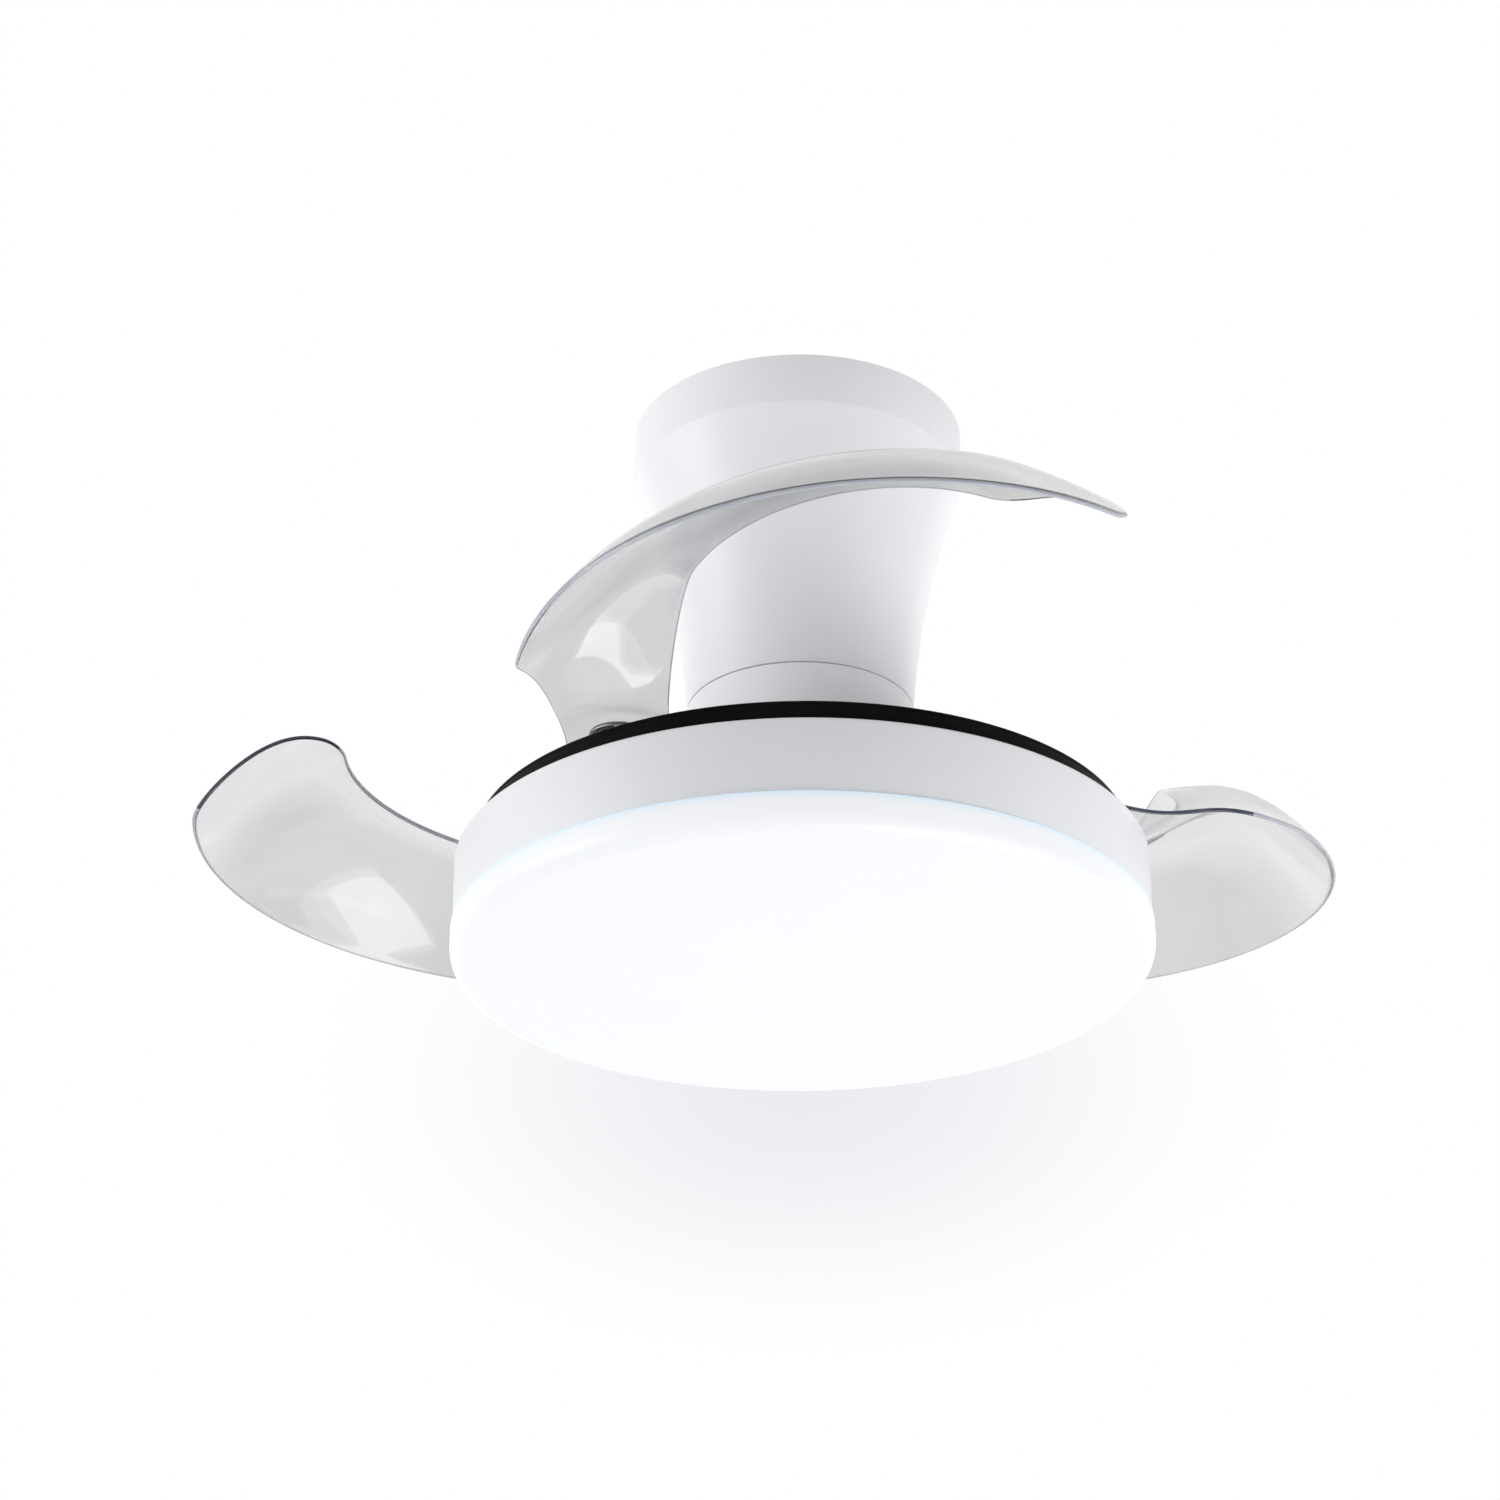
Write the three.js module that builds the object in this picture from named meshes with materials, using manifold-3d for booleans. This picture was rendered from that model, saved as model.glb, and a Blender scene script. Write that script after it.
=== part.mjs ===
// Ceiling fan with three clear blades that fold away above a round lamp.
// Millimetres, +Z up. The origin is the middle of the bracket's top face, where it meets the ceiling.
import * as THREE from 'three';
import { mergeVertices } from 'three/addons/utils/BufferGeometryUtils.js';
import Module from 'manifold-3d';

const wasm = await Module();
wasm.setup();

// ---------- Driving dimensions ----------

// Gaps between pieces
const fitGap = 0.3; // between pieces that seat on each other or a pin and its hole
const runningSeam = 1.5; // between the fixed neck and the turning collar
const lampGap = 2.5; // between the turning tray and the fixed lamp

// Canopy and neck, one moulded shell
const canopyRadius = 123;
const canopySideHeight = 40; // straight side, before the shell draws in
const neckRadius = 83; // at the foot of the neck
const neckDrop = 230; // from the ceiling to the foot of the neck
const shellWall = 2.5;
const ceilingRelief = 1; // the shell's rim stops this far short of the ceiling

// Ceiling bracket
const bracketThickness = 3;
const bracketTabDepth = 24;
const bracketTabWidth = 22;
const bracketTabClearance = 1.2;
const supplyHoleRadius = 10;
const supplyHoleOffset = 52;
const ceilingSlotLength = 22;
const ceilingSlotWidth = 6;
const ceilingSlotOffset = 88;
const canopyScrewAngles = [20, 160];
const canopyScrewDepth = 14; // below the ceiling
const smallScrewRadius = 2;
const smallHeadRadius = 4;
const smallHeadHeight = 2.4;

// Hanger and shaft
const shaftRadius = 8;
const shaftBoreRadius = 5;
const shaftStep = 1; // the shaft is this much thinner below the shoulder that the lamp is clamped against
const shaftEngagement = 55; // length held inside the hanger tube
const hangerTubeRadius = 14;
const hangerFlangeRadius = 34;
const hangerFlangeThickness = 5;
const hangerBoltCircle = 25;
const hangerBoltRadius = 3;
const hangerBoltCount = 3;
const hangerBoltHead = { radius: 5.4, height: 4 };
const hangerClearance = 7.7; // from the motor's top to the tube's foot
const wireHoleRadius = 4.5;
const wireHoleDrop = 22;
const setScrewRadius = 2.5;
const setScrewHeight = 15; // above the tube's foot

// Motor
const motorHeight = 60;
const motorWall = 4;
const motorToCollar = 2;
const statorHeight = 26;
const magnetThickness = 3.4;
const magnetOverhang = 2; // above and below the stator
const airGap = 0.7;
const poleCount = 6;
const poleNeckWidth = 14;
const poleShoeDepth = 9;
const poleSlotWidth = 4;
const coilToShoe = 2.8;
const coilThickness = 4;
const raceThickness = 2.6;
const ballRadius = 2.6;
const ballCount = 7;
const cageWidth = 1.8;
const cageHeight = 2.4;
const bearingWidth = 9;
const bearingLip = 1.5;
const bearingSeatWall = 3.5;

// Turning collar and blade tray
const collarHeight = 106.5; // from its top edge to the tray's top
const collarTaper = 1; // the collar's foot is this much narrower than its top
const collarFootFlange = 12;
const trayRadius = 235;
const trayHeight = 16;
const trayWall = 2.5;
const trayChamfer = 2;
const trayShaftHole = 21;
const motorScrewCircle = 45;
const guidePostRadius = 5;
const trayScrewBite = 8; // how far a tray screw reaches into its post

// Gears that keep the three blades in step
const bladeCount = 3;
const pivotInset = 23; // from the tray's edge to a blade's pivot
const bladeGearTeeth = 32;
const ringGearTeeth = 180;
const gearThickness = 4.5;
const gearFloorGap = 0.8;
const gearBacklash = 0.3;
const pressureAngle = 20;
const ringGearBand = 12; // from the tooth roots to the ring's inner edge
const foldAngle = 68; // how far a blade swings in
const hubRadius = 9;
const spigotSide = 11;
const pivotBoltRadius = 3;
const pivotHeadRadius = 9;
const pivotHeadHeight = 3;
const springWireRadius = 0.7;
const springTurns = 2;
const springClearance = 3.8;
const springLeg = 6;

// Blade: an arched, sickle-shaped clear sheet. Its plan lies in the pivot's own axes,
// x away from the fan's axis and y along the way the fan turns. Heights are above the tray.
const bladeThickness = 3;
const bladeBossRadius = 20;
const bladeBossGap = 0.8; // above the tray
const bladeBossHeight = 8.7;
const bladeBossCap = 2.5; // over the socket that the gear's spigot fits
const bladeRootHeight = 6; // middle of the sheet round the pivot
const bladeRise = 78; // distance over which the root disc runs out into the arched sheet
const outerEdge = { x: -58.1, y: 165.6, radius: 236.2, from: -43.4, to: 79, low: 9.6, high: 41.6, bow: 4.7 };
const innerEdge = { x: -76.1, y: 159, radius: 138.5, from: -84, to: 72.9, low: 42, high: 102.3, bow: 13.6 };
const archHeight = 24;
const archAtTip = 19;
const archStart = 0.2; // share of the blade's length over which the arch comes in
const tipBulge = 21;
const rootEdgeHollow = 14;
const archEaseOff = 0.8; // share of the blade's length after which the arch grows lower
const firstPivotAngle = 234.5; // where blade 1 is pivoted, seen from above

// Lamp
const lampRadius = 249;
const lampRingHeight = 53.5;
const lampWall = 2.5;
const lampEdgeRadius = 3;
const lampNutHeight = 8;
const lampNutRadius = 13;
const lampWasherRadius = 16;
const lampWasherThickness = 1.5;
const boardMargin = 49; // from the lamp's outer side in to the light board's edge
const boardThickness = 1.6;
const boardDrop = 30; // below the lamp's top face
const boardScrewBite = 7; // how far a board screw reaches into its post
const boardPostInset = 50; // from the board's edge in to the middle of its posts
const boardPostRadius = 4.5;
const boardPostCount = 3;
const firstBoardPost = 60; // degrees, clear of the driver
const chipSize = 6;
const chipHeight = 1.2;
const chipRings = [{ inset: 96, count: 12 }, { inset: 20, count: 18 }]; // from the board's edge
const driverSize = { length: 90, width: 50, height: 20 };
const driverOffset = 75;
const driverEar = 8; // how far its fixing ears stick out at each end
const driverEarThickness = 2;

// Diffuser
const diffuserOverhang = 1.5; // beyond the lamp's side
const diffuserDepth = 26;
const diffuserEdgeRadius = 17;
const diffuserWall = 2.5;
const diffuserCollarInset = 12; // from the outside to the collar that goes up into the lamp
const diffuserCollarHeight = 11.5;
const bayonetCount = 3;
const bayonetWidth = 12; // degrees
const bayonetThickness = 2;
const bayonetGap = 0.5;

// Radio receiver and terminal block, in the canopy
const receiverSize = { length: 72, width: 36, height: 22 };
const receiverOffset = 66;
const receiverWall = 2;
const receiverBoardGap = 1.3;
const receiverParts = {
  coil: { x: -18, length: 14, width: 12, height: 11 },
  capacitor: { x: 4, radius: 5, height: 13 },
  relay: { x: 22, length: 12, width: 18, height: 9 },
};
const terminalSize = { length: 26, width: 44, height: 16 };
const terminalOffset = 72;
const terminalScrewRadius = 3;
const terminalRows = 3;

// Facets round a circle
const largeSides = 40;
const middleSides = 24;
const smallSides = 12;
const raceSides = 16;
const screwSides = 8;

// ---------- Worked out from the driving dimensions ----------

const seamZ = -neckDrop;
const collarTopZ = seamZ - runningSeam;
const trayTopZ = collarTopZ - collarHeight;
const trayBottomZ = trayTopZ - trayHeight;
const lampTopZ = trayBottomZ - lampGap;
const lampBottomZ = lampTopZ - lampRingHeight;
const lowestZ = lampBottomZ - diffuserDepth;
const motorBottomZ = trayTopZ + fitGap;
const motorTopZ = motorBottomZ + motorHeight;
const motorMiddleZ = motorBottomZ + motorHeight / 2;
const hangerFootZ = motorTopZ + hangerClearance;
const collarFootRadius = neckRadius - collarTaper;
const motorRadius = collarFootRadius - collarFootFlange - motorToCollar;
const statorRadius = motorRadius - motorWall - fitGap - magnetThickness - airGap;
const shaftEndRadius = shaftRadius - shaftStep;
const boardRadius = lampRadius - boardMargin;
const boardPostCircle = boardRadius - boardPostInset;
const diffuserRadius = lampRadius + diffuserOverhang;
const pivotRadius = trayRadius - pivotInset;
const gearModule = (2 * pivotRadius) / (bladeGearTeeth + ringGearTeeth);
const gearBottomZ = trayBottomZ + trayWall + gearFloorGap;
const gearTopZ = gearBottomZ + gearThickness;
const lidBottomZ = trayTopZ - trayWall;
const bladeBossBottomZ = trayTopZ + bladeBossGap;
const bladeBossTopZ = bladeBossBottomZ + bladeBossHeight;

const raceInner = shaftRadius + fitGap;
const ballCircle = raceInner + raceThickness + fitGap + ballRadius;
const outerRaceInner = ballCircle + ballRadius + fitGap;
const bearingRadius = outerRaceInner + raceThickness;
const lowerBearingZ = motorBottomZ + bearingLip + fitGap;
const upperBearingZ = motorTopZ - bearingLip - fitGap - bearingWidth;

const finish = {
  shellWhite: new THREE.MeshStandardMaterial({ color: 0xf2f2f4, roughness: 0.42, metalness: 0 }),
  lampWhite: new THREE.MeshStandardMaterial({ color: 0xf3f3f5, roughness: 0.4, metalness: 0 }),
  trayBlack: new THREE.MeshStandardMaterial({ color: 0x101211, roughness: 0.35, metalness: 0 }),
  opal: new THREE.MeshStandardMaterial({ color: 0xfafdff, roughness: 0.5, metalness: 0, emissive: 0xc8d4e2 }),
  clear: new THREE.MeshStandardMaterial({
    color: 0xd9dbdf,
    roughness: 0.06,
    metalness: 0,
    transparent: true,
    opacity: 0.35,
  }),
  zinc: new THREE.MeshStandardMaterial({ color: 0xb9bcc0, roughness: 0.38, metalness: 0.9 }),
  steel: new THREE.MeshStandardMaterial({ color: 0xa6a9ad, roughness: 0.25, metalness: 1 }),
  castAluminium: new THREE.MeshStandardMaterial({ color: 0x9da1a5, roughness: 0.5, metalness: 0.9 }),
  copper: new THREE.MeshStandardMaterial({ color: 0xb06a36, roughness: 0.4, metalness: 0.9 }),
  magnet: new THREE.MeshStandardMaterial({ color: 0x3a3c40, roughness: 0.55, metalness: 0.4 }),
  nylon: new THREE.MeshStandardMaterial({ color: 0xe9e6dc, roughness: 0.5, metalness: 0 }),
  board: new THREE.MeshStandardMaterial({ color: 0xf0f1ee, roughness: 0.45, metalness: 0.1 }),
  greyPlastic: new THREE.MeshStandardMaterial({ color: 0xd2d3d3, roughness: 0.5, metalness: 0 }),
};

// ---------- Shape helpers ----------

const radians = (degrees) => (degrees * Math.PI) / 180;
const degreesOf = (y, x) => (Math.atan2(y, x) * 180) / Math.PI;
const between = (a, b, share) => a + (b - a) * share;
function easeIn(share) {
  const s = Math.min(Math.max(share, 0), 1);
  return s * s * (3 - 2 * s);
}

// A closed mesh with shared corners, without empty triangles and with its faces pointing out.
function closed(geometry) {
  const bare = new THREE.BufferGeometry();
  bare.setAttribute('position', geometry.getAttribute('position').clone());
  if (geometry.index) bare.setIndex(geometry.index.clone());
  const merged = mergeVertices(bare, 1e-3);
  const place = merged.getAttribute('position');
  const corners = [];
  let volume = 0;
  const a = new THREE.Vector3();
  const b = new THREE.Vector3();
  const c = new THREE.Vector3();
  for (let i = 0; i < merged.index.count; i += 3) {
    const [p, q, r] = [0, 1, 2].map((k) => merged.index.getX(i + k));
    if (p === q || q === r || r === p) continue;
    a.fromBufferAttribute(place, p);
    b.fromBufferAttribute(place, q);
    c.fromBufferAttribute(place, r);
    volume += a.dot(b.cross(c));
    corners.push([p, q, r]);
  }
  const facing = volume < 0 ? corners.map(([p, q, r]) => [p, r, q]) : corners;
  merged.setIndex(facing.flat());
  return merged;
}

function solid(geometry) {
  const shape = closed(geometry);
  return new wasm.Manifold(
    new wasm.Mesh({
      numProp: 3,
      vertProperties: new Float32Array(shape.getAttribute('position').array),
      triVerts: new Uint32Array(shape.index.array),
    }),
  );
}

function geometryOf(body) {
  const mesh = body.getMesh();
  const geometry = new THREE.BufferGeometry();
  geometry.setAttribute('position', new THREE.BufferAttribute(new Float32Array(mesh.vertProperties), 3));
  geometry.setIndex(new THREE.BufferAttribute(new Uint32Array(mesh.triVerts), 1));
  return geometry;
}

const join = (first, ...others) => others.reduce((whole, piece) => whole.add(piece), first);
const cut = (first, ...others) => others.reduce((whole, piece) => whole.subtract(piece), first);

// A profile of [radius, height] corners turned about the Z axis.
function turned(profile, sides) {
  const points = profile.map(([radius, height]) => new THREE.Vector2(radius, height));
  const onAxis = profile[0][0] === 0;
  if (!onAxis) points.push(points[0].clone());
  return new THREE.LatheGeometry(points, sides).rotateX(Math.PI / 2);
}

function disc(radius, bottom, top, sides) {
  return turned([[0, bottom], [radius, bottom], [radius, top], [0, top]], sides);
}

function ring(inner, outer, bottom, top, sides) {
  return turned([[inner, bottom], [outer, bottom], [outer, top], [inner, top]], sides);
}

function block(length, width, bottom, top, x = 0, y = 0) {
  return new THREE.BoxGeometry(length, width, top - bottom).translate(x, y, (top + bottom) / 2);
}

function turnedBy(geometry, degrees) {
  return geometry.rotateZ(radians(degrees));
}

// A pin lying along the radius at the given angle and height.
function radialPin(radius, from, to, angle, height, sides = smallSides) {
  const pin = disc(radius, from, to, sides).rotateY(Math.PI / 2).translate(0, 0, height);
  return turnedBy(pin, angle);
}

function slab(outline, bottom, top, steps = 12) {
  const geometry = new THREE.ExtrudeGeometry(outline, {
    depth: top - bottom,
    bevelEnabled: false,
    curveSegments: steps,
  });
  return geometry.translate(0, 0, bottom);
}

// A screw that points up: head below, shank above.
function screwUp(shankRadius, headRadius, headBottom, headTop, shankTop, sides = smallSides) {
  return turned(
    [[0, headBottom], [headRadius, headBottom], [headRadius, headTop], [shankRadius, headTop],
      [shankRadius, shankTop], [0, shankTop]],
    sides,
  );
}

// A screw that points down: head above, shank below.
function screwDown(shankRadius, headRadius, headTop, headBottom, shankBottom, sides = smallSides) {
  return screwUp(shankRadius, headRadius, -headTop, -headBottom, -shankBottom, sides).rotateX(Math.PI);
}

function atAngles(count, make, first = 0) {
  return Array.from({ length: count }, (_, k) => make(first + (360 / count) * k, k));
}

const fan = new THREE.Group();

function add(group, name, geometry, material) {
  const mesh = new THREE.Mesh(geometry, material);
  mesh.name = name;
  group.add(mesh);
  return mesh;
}

// ---------- Ceiling bracket and what hangs from it ----------

const shellInside = canopyRadius - shellWall;
const bracketRadius = shellInside - bracketTabClearance;

function hangerBoltHoles(bottom, top) {
  return atAngles(hangerBoltCount, (angle) => {
    const hole = disc(hangerBoltRadius + fitGap, bottom, top, smallSides).translate(hangerBoltCircle, 0, 0);
    return solid(turnedBy(hole, angle));
  });
}

function ceilingBracket() {
  let plate = solid(disc(bracketRadius, -bracketThickness, 0, largeSides));
  for (const angle of canopyScrewAngles) {
    const tab = block(bracketThickness, bracketTabWidth, -bracketTabDepth, 0,
      bracketRadius - bracketThickness / 2 - fitGap);
    plate = plate.add(solid(turnedBy(tab, angle)));
    plate = plate.subtract(solid(radialPin(smallScrewRadius + fitGap, bracketRadius - 2 * bracketThickness,
      canopyRadius, angle, -canopyScrewDepth)));
  }
  const deep = -bracketThickness - 1;
  const supplyHole = disc(supplyHoleRadius, deep, 1, middleSides).translate(0, -supplyHoleOffset, 0);
  plate = plate.subtract(solid(supplyHole));
  for (const angle of [45, 135, 225, 315]) {
    const slot = block(ceilingSlotWidth, ceilingSlotLength, deep, 1, ceilingSlotOffset);
    plate = plate.subtract(solid(turnedBy(slot, angle)));
  }
  for (const hole of hangerBoltHoles(deep, 1)) plate = plate.subtract(hole);
  return geometryOf(plate);
}

const flangeTopZ = -bracketThickness - fitGap;
const flangeBottomZ = flangeTopZ - hangerFlangeThickness;

function hangerTube() {
  const bore = shaftRadius + fitGap;
  let tube = solid(turned(
    [[bore, hangerFootZ], [hangerTubeRadius, hangerFootZ], [hangerTubeRadius, flangeBottomZ],
      [hangerFlangeRadius, flangeBottomZ], [hangerFlangeRadius, flangeTopZ], [bore, flangeTopZ]],
    middleSides,
  ));
  for (const hole of hangerBoltHoles(flangeBottomZ - 1, flangeTopZ + 1)) tube = tube.subtract(hole);
  const wireHole = radialPin(wireHoleRadius, 0, hangerTubeRadius + 1, -90, flangeBottomZ - wireHoleDrop);
  const screwHole = radialPin(setScrewRadius + fitGap, 0, hangerTubeRadius + 1, 0,
    hangerFootZ + setScrewHeight);
  return geometryOf(cut(tube, solid(wireHole), solid(screwHole)));
}

function receiverCase() {
  const { length, width, height } = receiverSize;
  const top = flangeTopZ - receiverWall - fitGap;
  const bottom = flangeTopZ - height;
  const floor = bottom + receiverWall;
  const outside = solid(block(length, width, bottom, top, 0, receiverOffset));
  const inside = solid(block(length - 2 * receiverWall, width - 2 * receiverWall, floor, top + 1,
    0, receiverOffset));
  return geometryOf(outside.subtract(inside));
}

function receiverBoard() {
  const { length, width, height } = receiverSize;
  const bottom = flangeTopZ - height + receiverWall + fitGap;
  const margin = 2 * (receiverWall + receiverBoardGap);
  const top = bottom + boardThickness;
  const plate = solid(block(length - margin, width - margin, bottom, top, 0, receiverOffset));
  const { coil, capacitor, relay } = receiverParts;
  const coilBody = block(coil.length, coil.width, bottom, bottom + coil.height, coil.x, receiverOffset);
  const can = disc(capacitor.radius, bottom, bottom + capacitor.height, smallSides)
    .translate(capacitor.x, receiverOffset, 0);
  const relayBody = block(relay.length, relay.width, bottom, bottom + relay.height, relay.x, receiverOffset);
  return geometryOf(join(plate, solid(coilBody), solid(can), solid(relayBody)));
}

function terminalBlock() {
  const { length, width, height } = terminalSize;
  let body = solid(block(length, width, flangeTopZ - height, flangeTopZ, -terminalOffset));
  for (let row = 0; row < terminalRows; row += 1) {
    const y = (row - (terminalRows - 1) / 2) * (width / terminalRows);
    for (const side of [-1, 1]) {
      const x = -terminalOffset + (side * length) / 4;
      const recess = disc(terminalScrewRadius, flangeTopZ - height - 1, flangeTopZ - height / 2, screwSides);
      body = body.subtract(solid(recess.translate(x, y, 0)));
    }
  }
  return geometryOf(body);
}

add(fan, 'ceiling_bracket', ceilingBracket(), finish.zinc);
add(fan, 'hanger_tube', hangerTube(), finish.zinc);
atAngles(hangerBoltCount, (angle, k) => {
  const seat = flangeBottomZ - fitGap;
  const bolt = screwUp(hangerBoltRadius, hangerBoltHead.radius, seat - hangerBoltHead.height, seat, -fitGap,
    screwSides);
  add(fan, `hanger_bolt_${k + 1}`, turnedBy(bolt.translate(hangerBoltCircle, 0, 0), angle), finish.steel);
});
add(fan, 'hanger_set_screw', radialPin(setScrewRadius, shaftRadius + fitGap, hangerTubeRadius - fitGap, 0,
  hangerFootZ + setScrewHeight, screwSides), finish.steel);
add(fan, 'receiver_case', receiverCase(), finish.greyPlastic);
add(fan, 'receiver_lid', block(receiverSize.length, receiverSize.width, flangeTopZ - receiverWall, flangeTopZ,
  0, receiverOffset), finish.greyPlastic);
add(fan, 'receiver_board', receiverBoard(), finish.board);
add(fan, 'terminal_block', terminalBlock(), finish.nylon);

// ---------- Canopy and neck ----------

// The shell's outer side from the ceiling down to the foot of the neck.
function shellSide(steps) {
  const shoulder = canopySideHeight;
  const fall = neckDrop - shoulder;
  const draw = canopyRadius - neckRadius;
  const sweep = new THREE.CubicBezierCurve(
    new THREE.Vector2(canopyRadius - 0.04 * draw, -shoulder - 0.026 * fall),
    new THREE.Vector2(neckRadius + 0.5 * draw, -shoulder - 0.29 * fall),
    new THREE.Vector2(neckRadius + 0.125 * draw, -shoulder - 0.63 * fall),
    new THREE.Vector2(neckRadius, -neckDrop),
  );
  const side = [[canopyRadius, -ceilingRelief], [canopyRadius, -shoulder]];
  for (const point of sweep.getPoints(steps)) side.push([point.x, point.y]);
  return side;
}

function canopyShell() {
  const outside = shellSide(5);
  const inside = shellSide(3).map(([radius, height]) => [radius - shellWall, height]).reverse();
  let shell = solid(turned([...outside, ...inside], largeSides));
  for (const angle of canopyScrewAngles) {
    const hole = radialPin(smallScrewRadius + fitGap, shellInside - shellWall, canopyRadius + shellWall, angle,
      -canopyScrewDepth);
    shell = shell.subtract(solid(hole));
  }
  return geometryOf(shell);
}

add(fan, 'canopy_shell', canopyShell(), finish.shellWhite);
canopyScrewAngles.forEach((angle, k) => {
  const headFrom = canopyRadius + fitGap;
  const screw = screwUp(smallScrewRadius, smallHeadRadius, -headFrom - smallHeadHeight, -headFrom,
    -bracketRadius + 2 * bracketThickness);
  screw.rotateY(-Math.PI / 2).translate(0, 0, -canopyScrewDepth);
  add(fan, `canopy_screw_${k + 1}`, turnedBy(screw, angle), finish.shellWhite);
});

// ---------- Fixed shaft and stator ----------

const shoulderZ = lampTopZ + fitGap;
const plateBottomZ = lampTopZ - lampWall;
const washerTopZ = plateBottomZ - fitGap;
const nutTopZ = washerTopZ - lampWasherThickness - fitGap;
const shaftFootZ = nutTopZ - lampNutHeight - 4;
const shaftHeadZ = hangerFootZ + shaftEngagement;

add(fan, 'motor_shaft', closed(turned(
  [[shaftBoreRadius, shaftFootZ], [shaftEndRadius, shaftFootZ], [shaftEndRadius, shoulderZ],
    [shaftRadius, shoulderZ], [shaftRadius, shaftHeadZ], [shaftBoreRadius, shaftHeadZ]],
  raceSides,
)), finish.steel);

const statorBottomZ = motorMiddleZ - statorHeight / 2;
const statorTopZ = motorMiddleZ + statorHeight / 2;
const statorHub = bearingRadius + 2;
const shoeInside = statorRadius - poleShoeDepth;

function statorCore() {
  let core = solid(ring(shaftRadius + fitGap, statorHub, statorBottomZ, statorTopZ, middleSides));
  core = core.add(solid(ring(shoeInside, statorRadius, statorBottomZ, statorTopZ, largeSides)));
  atAngles(poleCount, (angle) => {
    const inner = statorHub - 2;
    const outer = shoeInside + 2;
    const neck = block(outer - inner, poleNeckWidth, statorBottomZ, statorTopZ, (inner + outer) / 2);
    core = core.add(solid(turnedBy(neck, angle)));
  });
  atAngles(poleCount, (angle) => {
    const slot = block(poleShoeDepth + 6, poleSlotWidth, statorBottomZ - 1, statorTopZ + 1,
      statorRadius - poleShoeDepth / 2);
    core = core.subtract(solid(turnedBy(slot, angle)));
  }, 180 / poleCount);
  return geometryOf(core);
}

function statorWinding() {
  const from = statorHub + 1;
  const to = shoeInside - coilToShoe;
  const innerWidth = poleNeckWidth + 2 * fitGap;
  const innerBottom = statorBottomZ - fitGap;
  const innerTop = statorTopZ + fitGap;
  const middle = (from + to) / 2;
  let winding = solid(ring(from + 6, from + 10, innerTop, innerTop + coilThickness / 2, middleSides));
  atAngles(poleCount, (angle) => {
    const outside = block(to - from, innerWidth + 2 * coilThickness, innerBottom - coilThickness,
      innerTop + coilThickness, middle);
    const inside = block(to - from + 2, innerWidth, innerBottom, innerTop, middle);
    winding = winding.add(solid(turnedBy(outside, angle)).subtract(solid(turnedBy(inside, angle))));
  });
  return geometryOf(winding);
}

add(fan, 'stator_core', statorCore(), finish.magnet);
add(fan, 'stator_winding', statorWinding(), finish.copper);
for (const [name, bottom] of [['lower', lowerBearingZ], ['upper', upperBearingZ]]) {
  const race = ring(raceInner, raceInner + raceThickness, bottom, bottom + bearingWidth, raceSides);
  add(fan, `${name}_inner_race`, closed(race), finish.steel);
}

// ---------- Lamp ----------

const boardTopZ = lampTopZ - boardDrop;
const boardBottomZ = boardTopZ - boardThickness;
const lampInside = lampRadius - lampWall;
const diffuserTopZ = lampBottomZ - bayonetGap;
const collarOutside = diffuserRadius - diffuserCollarInset;
const collarInside = collarOutside - diffuserWall;
const collarRimZ = diffuserTopZ + diffuserCollarHeight;
const lugBottomZ = collarRimZ - bayonetThickness;
const tabTopZ = lugBottomZ - bayonetGap;
const tabInside = collarOutside + 1.5;
const lugOutside = lampInside - 1;

// A piece of a ring, centred on an angle.
function ringPiece(inner, outer, bottom, top, angle, width) {
  const outline = new THREE.Shape();
  outline.absarc(0, 0, outer, radians(-width / 2), radians(width / 2), false);
  outline.absarc(0, 0, inner, radians(width / 2), radians(-width / 2), true);
  return turnedBy(slab(outline, bottom, top, 3), angle);
}

function lampPan() {
  const bore = shaftEndRadius + fitGap;
  const midEdge = lampEdgeRadius * (1 - Math.SQRT1_2);
  const profile = [[bore, plateBottomZ], [lampInside, plateBottomZ], [lampInside, lampBottomZ],
    [lampRadius, lampBottomZ], [lampRadius, lampTopZ - lampEdgeRadius],
    [lampRadius - midEdge, lampTopZ - midEdge], [lampRadius - lampEdgeRadius, lampTopZ], [bore, lampTopZ]];
  let pan = solid(turned(profile, largeSides));
  atAngles(bayonetCount, (angle) => {
    pan = pan.add(solid(ringPiece(tabInside, lampInside + lampWall / 2, tabTopZ - bayonetThickness, tabTopZ,
      angle, bayonetWidth)));
  });
  atAngles(boardPostCount, (angle) => {
    const post = disc(boardPostRadius, boardTopZ + fitGap, plateBottomZ + lampWall / 2, smallSides);
    const hole = disc(smallScrewRadius, boardTopZ - 1, boardTopZ + boardScrewBite + 1, screwSides);
    pan = pan.add(solid(turnedBy(post.translate(boardPostCircle, 0, 0), angle)));
    pan = pan.subtract(solid(turnedBy(hole.translate(boardPostCircle, 0, 0), angle)));
  }, firstBoardPost);
  return geometryOf(pan);
}

function lightBoard() {
  let board = solid(disc(boardRadius, boardBottomZ, boardTopZ, largeSides));
  atAngles(boardPostCount, (angle) => {
    const hole = disc(smallScrewRadius, boardBottomZ - 1, boardTopZ + 1, screwSides)
      .translate(boardPostCircle, 0, 0);
    board = board.subtract(solid(turnedBy(hole, angle)));
  }, firstBoardPost);
  for (const { inset, count } of chipRings) {
    atAngles(count, (angle) => {
      const chip = block(chipSize, chipSize, boardBottomZ - chipHeight, boardBottomZ + boardThickness / 2,
        boardRadius - inset);
      board = board.add(solid(turnedBy(chip, angle)));
    }, 180 / count);
  }
  return geometryOf(board);
}

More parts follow.
